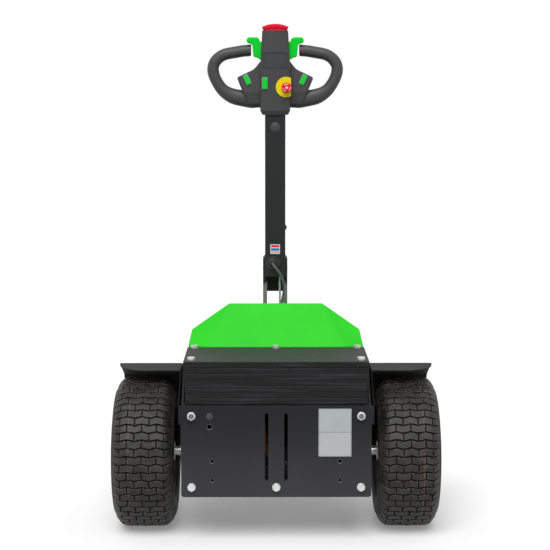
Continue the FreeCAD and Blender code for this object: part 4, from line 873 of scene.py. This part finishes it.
def buttonScrew(name, centre, axis, radius):
    # domed head on a washer, with a round socket in its top
    tall = 0.0044
    head = [(-0.0002, radius * 1.5), (0.0008, radius * 1.5), (0.001, radius * 1.42), (0.001, radius),
            (0.0026, radius * 0.97), (0.0038, radius * 0.8), (tall, radius * 0.56)]
    screw = turned(name, head, centre, axis, 24)
    outward = Vector(axis).normalized()
    top = Vector(centre) + outward * tall
    openMesh(screw)
    pickPoints(lambda place: abs((place - top).dot(outward)) < 0.0001)
    bpy.ops.mesh.edge_face_add()
    bpy.ops.mesh.select_mode(type="FACE")
    bpy.ops.mesh.inset(thickness=radius * 0.12)
    bpy.ops.mesh.extrude_region_move(TRANSFORM_OT_translate={"value": outward * -tall / 2})
    closeMesh()
    return screw


hoodScrews = {
    "side": [(-0.105, 0.374), (0.065, 0.374)],  # y and z
    "rear": [(-0.17, 0.372), (0.17, 0.372)],  # x and z
    "radius": 0.0065,
}


def hoodFasteners():
    low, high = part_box("hood")
    rows = [((way, 0, 0), [(face, y, z) for y, z in hoodScrews["side"]])
            for way, face in ((-1, low.x), (1, high.x))]
    rows.append(((0, 1, 0), [(x, high.y, z) for x, z in hoodScrews["rear"]]))
    screws = []
    for axis, places in rows:
        screws += spread(buttonScrew("screw", places[0], axis, hoodScrews["radius"]), places)
    finishPiece(joined("hood_screws", screws), "chassis", "zinc")


weld = {
    "pitch": 0.0026,
    "bead": (0.0034, 0.0034, 0.0026),
    "half": 0.047,  # half of a run's length
    "pinEnd": 0.005,  # from the pin's end in to the ear
    "up": 0.008,  # thickness of the mount's base
}


def weldRun(start, end):
    # overlapping scallops along a straight seam
    start, end = Vector(start), Vector(end)
    run = end - start
    clearSelection()
    bpy.ops.mesh.primitive_uv_sphere_add(
        segments=10, ring_count=6, radius=1, location=start, scale=weld["bead"])
    bead = bpy.context.object
    applyPlace()
    applyArray(bead, int(run.length / weld["pitch"]), {
        "use_constant_offset": True, "constant_offset_displace": run.normalized() * weld["pitch"]})
    return bead


def chassisWelds():
    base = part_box("tiller_mount")[0].z + weld["up"]
    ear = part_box("tiller_pivot_pin")[1].x - weld["pinEnd"]
    centre = middleOf("tiller_pivot_pin").y
    starts = [(way * ear, centre - weld["half"], base) for way in (-1, 1)]
    run = weldRun(starts[0], (-ear, centre + weld["half"], base))
    finishPiece(joined("mount_welds", spread(run, starts)), "chassis", "frame_black", sharp=80)


flap = {
    "tall": 0.032, "thick": 0.003, "corner": 0.006, "tailGap": 0.0008,
    "rise": 0.7,  # height of its top over the axle, as a share of its distance behind the axle
    "lift": 0.005,  # added to that height
    "inGap": 0.0055,  # from the coupling plate's side
    "outGap": 0.0015,  # from the fender's side
}


def fenderFlaps():
    # rubber strips that hang inside the fenders' rear edges
    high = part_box("fender_right")[1]
    centre = middleOf("tyre_right")
    inner = plateHigh.x + flap["inGap"]
    wide = high.x - flap["outGap"] - inner
    tail = high.y - flap["tailGap"] - flap["thick"] / 2
    up = centre.z + (high.y - centre.y) * flap["rise"] + flap["lift"] - flap["tall"] / 2
    places = [(way * (inner + wide / 2), tail, up) for way in (-1, 1)]
    strip = cutOut("fender_flap", places[0], (wide, flap["thick"], flap["tall"]), flap["corner"])
    for side, copy in zip(("left", "right"), spread(strip, places)):
        copy.name = "fender_flap_" + side
        finishPiece(copy, "chassis", "castor_rubber")


# a dark sheet placed behind the slots as painted shade
shadeSheet = {
    "across": (-0.06, 0.06), "up": (0.128, 0.1985), "thick": 0.002, "corner": 0.008,
    "behind": 0.03,  # from the coupling plate's front
}
caseBracket = {"across": (-0.02, 0.0312), "up": (0.196, 0.238), "thick": 0.003, "corner": 0.005}


def plainSheets():
    # a dark sheet behind the plate's slots that stands in for shade there, and a strap on the back of the
    # gear case
    sheet = standingPlate("shade_sheet", shadeSheet, plateLow.y + shadeSheet["behind"])
    finishPiece(sheet, "chassis", "frame_black")
    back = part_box("transaxle")[1].y + caseBracket["thick"] / 2
    finishPiece(standingPlate("gear_case_bracket", caseBracket, back), "chassis", "frame_black")


blankLabel()
platePlug()
holeLinings()
plateBolts()
hoodFasteners()
chassisWelds()
fenderFlaps()
plainSheets()
print("chassis details made")


valve = {
    "across": 0.05,  # from the tyre's middle plane and from the axle
    "away": 0.0975,
    "lean": (0.62, -0.78),  # outwards and away from the axle
    "turnDeg": 78,
    # distance along the valve and from its axis
    "stem": [(-0.002, 0.0085), (0.003, 0.008), (0.006, 0.0058), (0.022, 0.0046), (0.023, 0.0036), (0.023, 0)],
    "cap": [(0.0225, 0.0036), (0.0235, 0.0046), (0.034, 0.0044), (0.0352, 0.0034), (0.0355, 0)],
}


def valveStem(side):
    sign = -1 if side == "left" else 1
    turn = math.radians(valve["turnDeg"])
    out = Vector((0, math.cos(turn), math.sin(turn)))
    foot = middleOf("tyre_" + side) + out * valve["away"] + Vector((sign * valve["across"], 0, 0))
    axis = Vector((sign * valve["lean"][0], 0, 0)) + out * valve["lean"][1]
    stem = turned("valve_stem_" + side, valve["stem"], foot, axis, 20)
    cap = turned("valve_cap_" + side, valve["cap"], foot, axis, 20)
    finishPiece(stem, "wheel_" + side, "tyre_rubber", finishes["tyreCase"])
    finishPiece(cap, "wheel_" + side, "castor_core")


for side in ("left", "right"):
    valveStem(side)
print("valves made")


tubeFittings = {
    "cap": (0.0, 1.064, 0.015),  # x, z and radius
    "bolt": (0.230, 0.767, 0.00612),  # y, z and radius
}
sticker = {
    "x": -0.0003, "z": 0.705, "side": 0.0285, "thick": 0.0005, "corner": 0.0015, "white": (225, 226, 228),
    "margin": 0.0022,  # white left at both ends of the bands
    # each band's top and foot, measured down from the sticker's top, and its colour
    "bands": [(0.0024, 0.0090, (240, 16, 42)), (0.0118, 0.0192, (8, 112, 206)),
              (0.0208, 0.0264, (232, 180, 150))],
}


def stickerPaint():
    # bands that run across, with nothing written
    tone = screen(*sticker["white"])
    card = Finish("stickerCard", tone, specular=0.25)
    x, _, z = card.axes()
    top = sticker["z"] + sticker["side"] / 2
    end = sticker["side"] / 2 - sticker["margin"]
    within = 1 - card.fade(abs(x - sticker["x"]), end - 0.0004, end)
    sway = card.noise(0.016, detail=1) * 0.002 - 0.001
    for high, low, colour in sticker["bands"]:
        half = (low - high) / 2
        band = 1 - card.fade(abs(z + sway - (top - high - half)), half - 0.0004, half)
        tone = card.mix(band * within, tone, screen(*colour))
    card.give("Base Color", tone)
    card.give("Roughness", 0.32 + card.noise(0.01) * 0.1)
    card.addHeight(card.noise(0.003, detail=2) * 0.00001)
    return card.done()


def tubeDetails():
    low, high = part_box("tiller_tube")
    x, z, radius = tubeFittings["cap"]
    dome = [(-0.0003, radius), (0.001, radius), (0.0017, radius * 0.95), (0.0016, radius * 0.86),
            (0.0026, radius * 0.78), (0.0034, radius * 0.4), (0.0036, 0)]
    cap = turned("tube_cap", dome, (x, low.y, z), (0, -1, 0), 40)
    finishPiece(cap, "tiller", "gland_plastic", finishes["plugPlastic"])
    y, z, radius = tubeFittings["bolt"]
    bolt = buttonScrew("tube_side_bolt", (high.x, y, z), (1, 0, 0), radius)
    finishPiece(bolt, "tiller", "motor_black")
    size = (sticker["side"], sticker["thick"], sticker["side"])
    card = cutOut("tube_sticker", (sticker["x"], low.y - 0.0002, sticker["z"]), size, sticker["corner"])
    finishPiece(card, "tiller", paint=stickerPaint())


stopMark = {
    "dot": 0.0040, "arcDeg": 72, "startDeg": 30,
    "arc": (0.0094, 0.0114),  # inner and outer radius
    "lift": 0.00025,  # how far the marks stand proud of the mushroom
    "front": -0.0005, "flat": 0.008, "slope": 1 / 3,  # outside the flat radius the face falls at this slope
}


def stopButtonMarks():
    # white dot and three bent bars on the mushroom, as moulded insets
    low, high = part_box("estop_button")
    centre = Vector(((low.x + high.x) / 2, low.y, (low.z + high.z) / 2))
    lift, dot = stopMark["lift"], stopMark["dot"]
    dotMark = turned("dot", [(-0.0006, dot), (lift, dot * 0.92), (lift * 1.6, 0)], centre, (0, -1, 0), 24)
    inner, outer = stopMark["arc"]
    strip = [(stopMark["front"] - (away - stopMark["flat"]) * stopMark["slope"] + up, away) for away, up in (
        (inner, -lift), (inner, lift), (outer, lift), (outer, -lift), (inner, -lift))]
    arc = turned("arc", strip, centre, (0, -1, 0), 14, math.radians(stopMark["arcDeg"]))
    openMesh(arc)
    selectAll()
    bpy.ops.mesh.fill_holes(sides=0)
    closeMesh()
    arcs = spread(arc, [centre] * 3)
    for third, arc in enumerate(arcs):
        turnPiece(arc, math.radians(120 * third + stopMark["startDeg"]), "Y", centre)
    finishPiece(joined("stop_button_marks", [dotMark] + arcs), "tiller", paint=finishes["whitePlastic"])


headBack = {
    "across": (-0.031, 0.031), "up": (1.122, 1.322), "thick": 0.0016, "corner": 0.008,
    "lip": (0.0012, 0.0005),  # width and height of the step in its face
    "sunk": 0.0004, "screwIn": 0.009, "screwRadius": 0.0032,
}


def headBackCover():
    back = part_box("control_head")[1].y
    cover = standingPlate("head_back_cover", headBack, back + headBack["thick"] / 2 - headBack["sunk"])
    openMesh(cover)
    pickFaces(lambda place, normal: normal.y > 0.9)
    width, height = headBack["lip"]
    bpy.ops.mesh.inset(thickness=width, depth=height)
    closeMesh()
    finishPiece(cover, "tiller", "head_plastic")
    inset = headBack["screwIn"]
    (left, right), (low, high) = headBack["across"], headBack["up"]
    places = [(x, back + headBack["thick"], z)
              for x in (left + inset, right - inset) for z in (low + inset, high - inset)]
    screw = buttonScrew("screw", places[0], (0, 1, 0), headBack["screwRadius"])
    finishPiece(joined("head_back_screws", spread(screw, places)), "tiller", "motor_black")


buttonGuard = {
    "wide": 0.0056, "tall": 0.0042, "corner": 0.0012, "sunk": 0.0003,
    "inset": 0.0036,  # from the button's side
    "endGap": 0.002,  # from its front and back
}


def headGuards():
    # low walls on both sides of the belly button's neck
    low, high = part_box("belly_button")
    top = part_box("control_head")[1].z
    size = (buttonGuard["wide"], high.y - low.y - 2 * buttonGuard["endGap"], buttonGuard["tall"])
    across = high.x - buttonGuard["inset"] - buttonGuard["wide"] / 2
    up = top + buttonGuard["tall"] / 2 - buttonGuard["sunk"]
    places = [(way * across, (low.y + high.y) / 2, up) for way in (-1, 1)]
    wall = cutOut("shadeSheet", places[0], size, buttonGuard["corner"], "z")
    finishPiece(joined("button_guards", spread(wall, places)), "tiller", "gland_plastic")


rockerRim = {
    "wide": 0.0172, "tall": 0.0322, "thick": 0.003, "corner": 0.0036, "proud": 0.0007,
    "lip": (0.0005, 0.0003),
    # middle, lean back and turn in the wing's face in degrees, and size against the others
    "places": [((-0.082, 0.218, 1.202), 6.6, 25, 1), ((0.082, 0.218, 1.202), 6.6, -25, 1),
               ((-0.03, 0.1908, 1.1918), 0, 0, 1.1)],
}


def rockerRims():
    # pale rims that the three rocker switches stand in
    size = Vector((rockerRim["wide"], rockerRim["thick"], rockerRim["tall"]))
    width, height = rockerRim["lip"]
    rims = []
    for middle, lean, turn, scale in rockerRim["places"]:
        place = Vector(middle) + Vector((0, rockerRim["thick"] / 2 - rockerRim["proud"], 0))
        rim = cutOut("rim", place, size * scale, rockerRim["corner"])
        openMesh(rim)
        pickFaces(lambda place, normal: normal.y < -0.9)
        bpy.ops.mesh.inset(thickness=width, depth=height)
        turnAll(math.radians(lean), "X", place)
        turnAll(math.radians(turn), "Y", place)
        closeMesh()
        rims.append(rim)
    finishPiece(joined("rocker_rims", rims), "tiller", "gland_plastic", finishes["rimPlastic"])


tubeDetails()
stopButtonMarks()
headBackCover()
headGuards()
rockerRims()
print("tiller details made")


springSeal = {"radius": 0.0079, "long": 0.007, "bore": 0.0044, "lip": 0.001}


def springDetails():
    # a seal on the cylinder's end, on the line between the spring's two pins
    foot = middleOf("gas_spring_foot_pin")
    top = middleOf("gas_spring_top_pin")
    top.x = foot.x
    axis = (top - foot).normalized()
    end = (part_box("gas_spring_cylinder")[1].z - foot.z) / axis.z
    radius, long, lip = springSeal["radius"], springSeal["long"], springSeal["lip"]
    collar = [(-long, radius - 0.0004), (-long, radius), (-long * 0.15, radius), (0, radius - lip),
              (0, springSeal["bore"]), (-lip, springSeal["bore"])]
    seal = turned("spring_seal", collar, foot + axis * (end - lip), axis, 32)
    finishPiece(seal, "gas_spring_cylinder", "motor_black")


springDetails()
print("gas spring details made")


studio = {
    "lensMm": 96.6, "sensorMm": 36.0,
    "stand": (-0.021, -4.129, 1.176), "lookDownDeg": 5.08, "lookRightDeg": 0.27,
    "lift": -0.10,  # vertical shift of the frame
    "sunStrength": 2.05, "sunSpreadDeg": 40, "sunHeightDeg": 50, "sunLeftDeg": -10,
    "sky": 0.42,
    "floorBounce": 0.42,  # how much of the light the floor sends back up
    "floorPale": 0.93,  # the floor as it is seen: what the light makes of it, and its own glow
    "floorGlow": 0.21,
    "floorSize": 60.0,
}


def grey(level):
    return (level, level, level, 1)


def floorAndLight():
    clearSelection()
    bpy.ops.mesh.primitive_plane_add(size=studio["floorSize"], location=(0, 0, 0))
    floor = bpy.context.object
    floor.name = "floor"
    white = Finish("floorWhite", grey(1), roughness=0.9, specular=0.0)
    seen = white.seenStraight()
    white.give("Base Color", white.mix(seen, grey(studio["floorBounce"]), grey(studio["floorPale"])))
    white.give("Emission Color", white.mix(seen, grey(0), grey(studio["floorGlow"])))
    white.give("Emission Strength", 1.0)
    floor.data.materials.append(white.done())
    clearSelection()
    bpy.ops.object.light_add(type="SUN", rotation=(
        math.radians(90 - studio["sunHeightDeg"]), 0, math.radians(studio["sunLeftDeg"])))
    sun = bpy.context.object
    sun.data.energy = studio["sunStrength"]
    sun.data.angle = math.radians(studio["sunSpreadDeg"])
    world = bpy.data.worlds.new("studio")
    bpy.context.scene.world = world
    world.use_nodes = True
    room = Board(world.node_tree)
    background = room.tree.nodes["Background"]
    room.feed(background.inputs["Color"], room.mix(room.seenStraight(), grey(studio["sky"]), grey(1)))


def camera():
    clearSelection()
    bpy.ops.object.camera_add(location=studio["stand"], rotation=(
        math.radians(90 - studio["lookDownDeg"]), 0, math.radians(-studio["lookRightDeg"])))
    eye = bpy.context.object
    eye.data.lens = studio["lensMm"]
    eye.data.sensor_width = studio["sensorMm"]
    eye.data.shift_y = studio["lift"]
    bpy.context.scene.camera = eye


floorAndLight()
camera()
bpy.context.scene.view_settings.view_transform = "Standard"
print("floor, light and camera set")
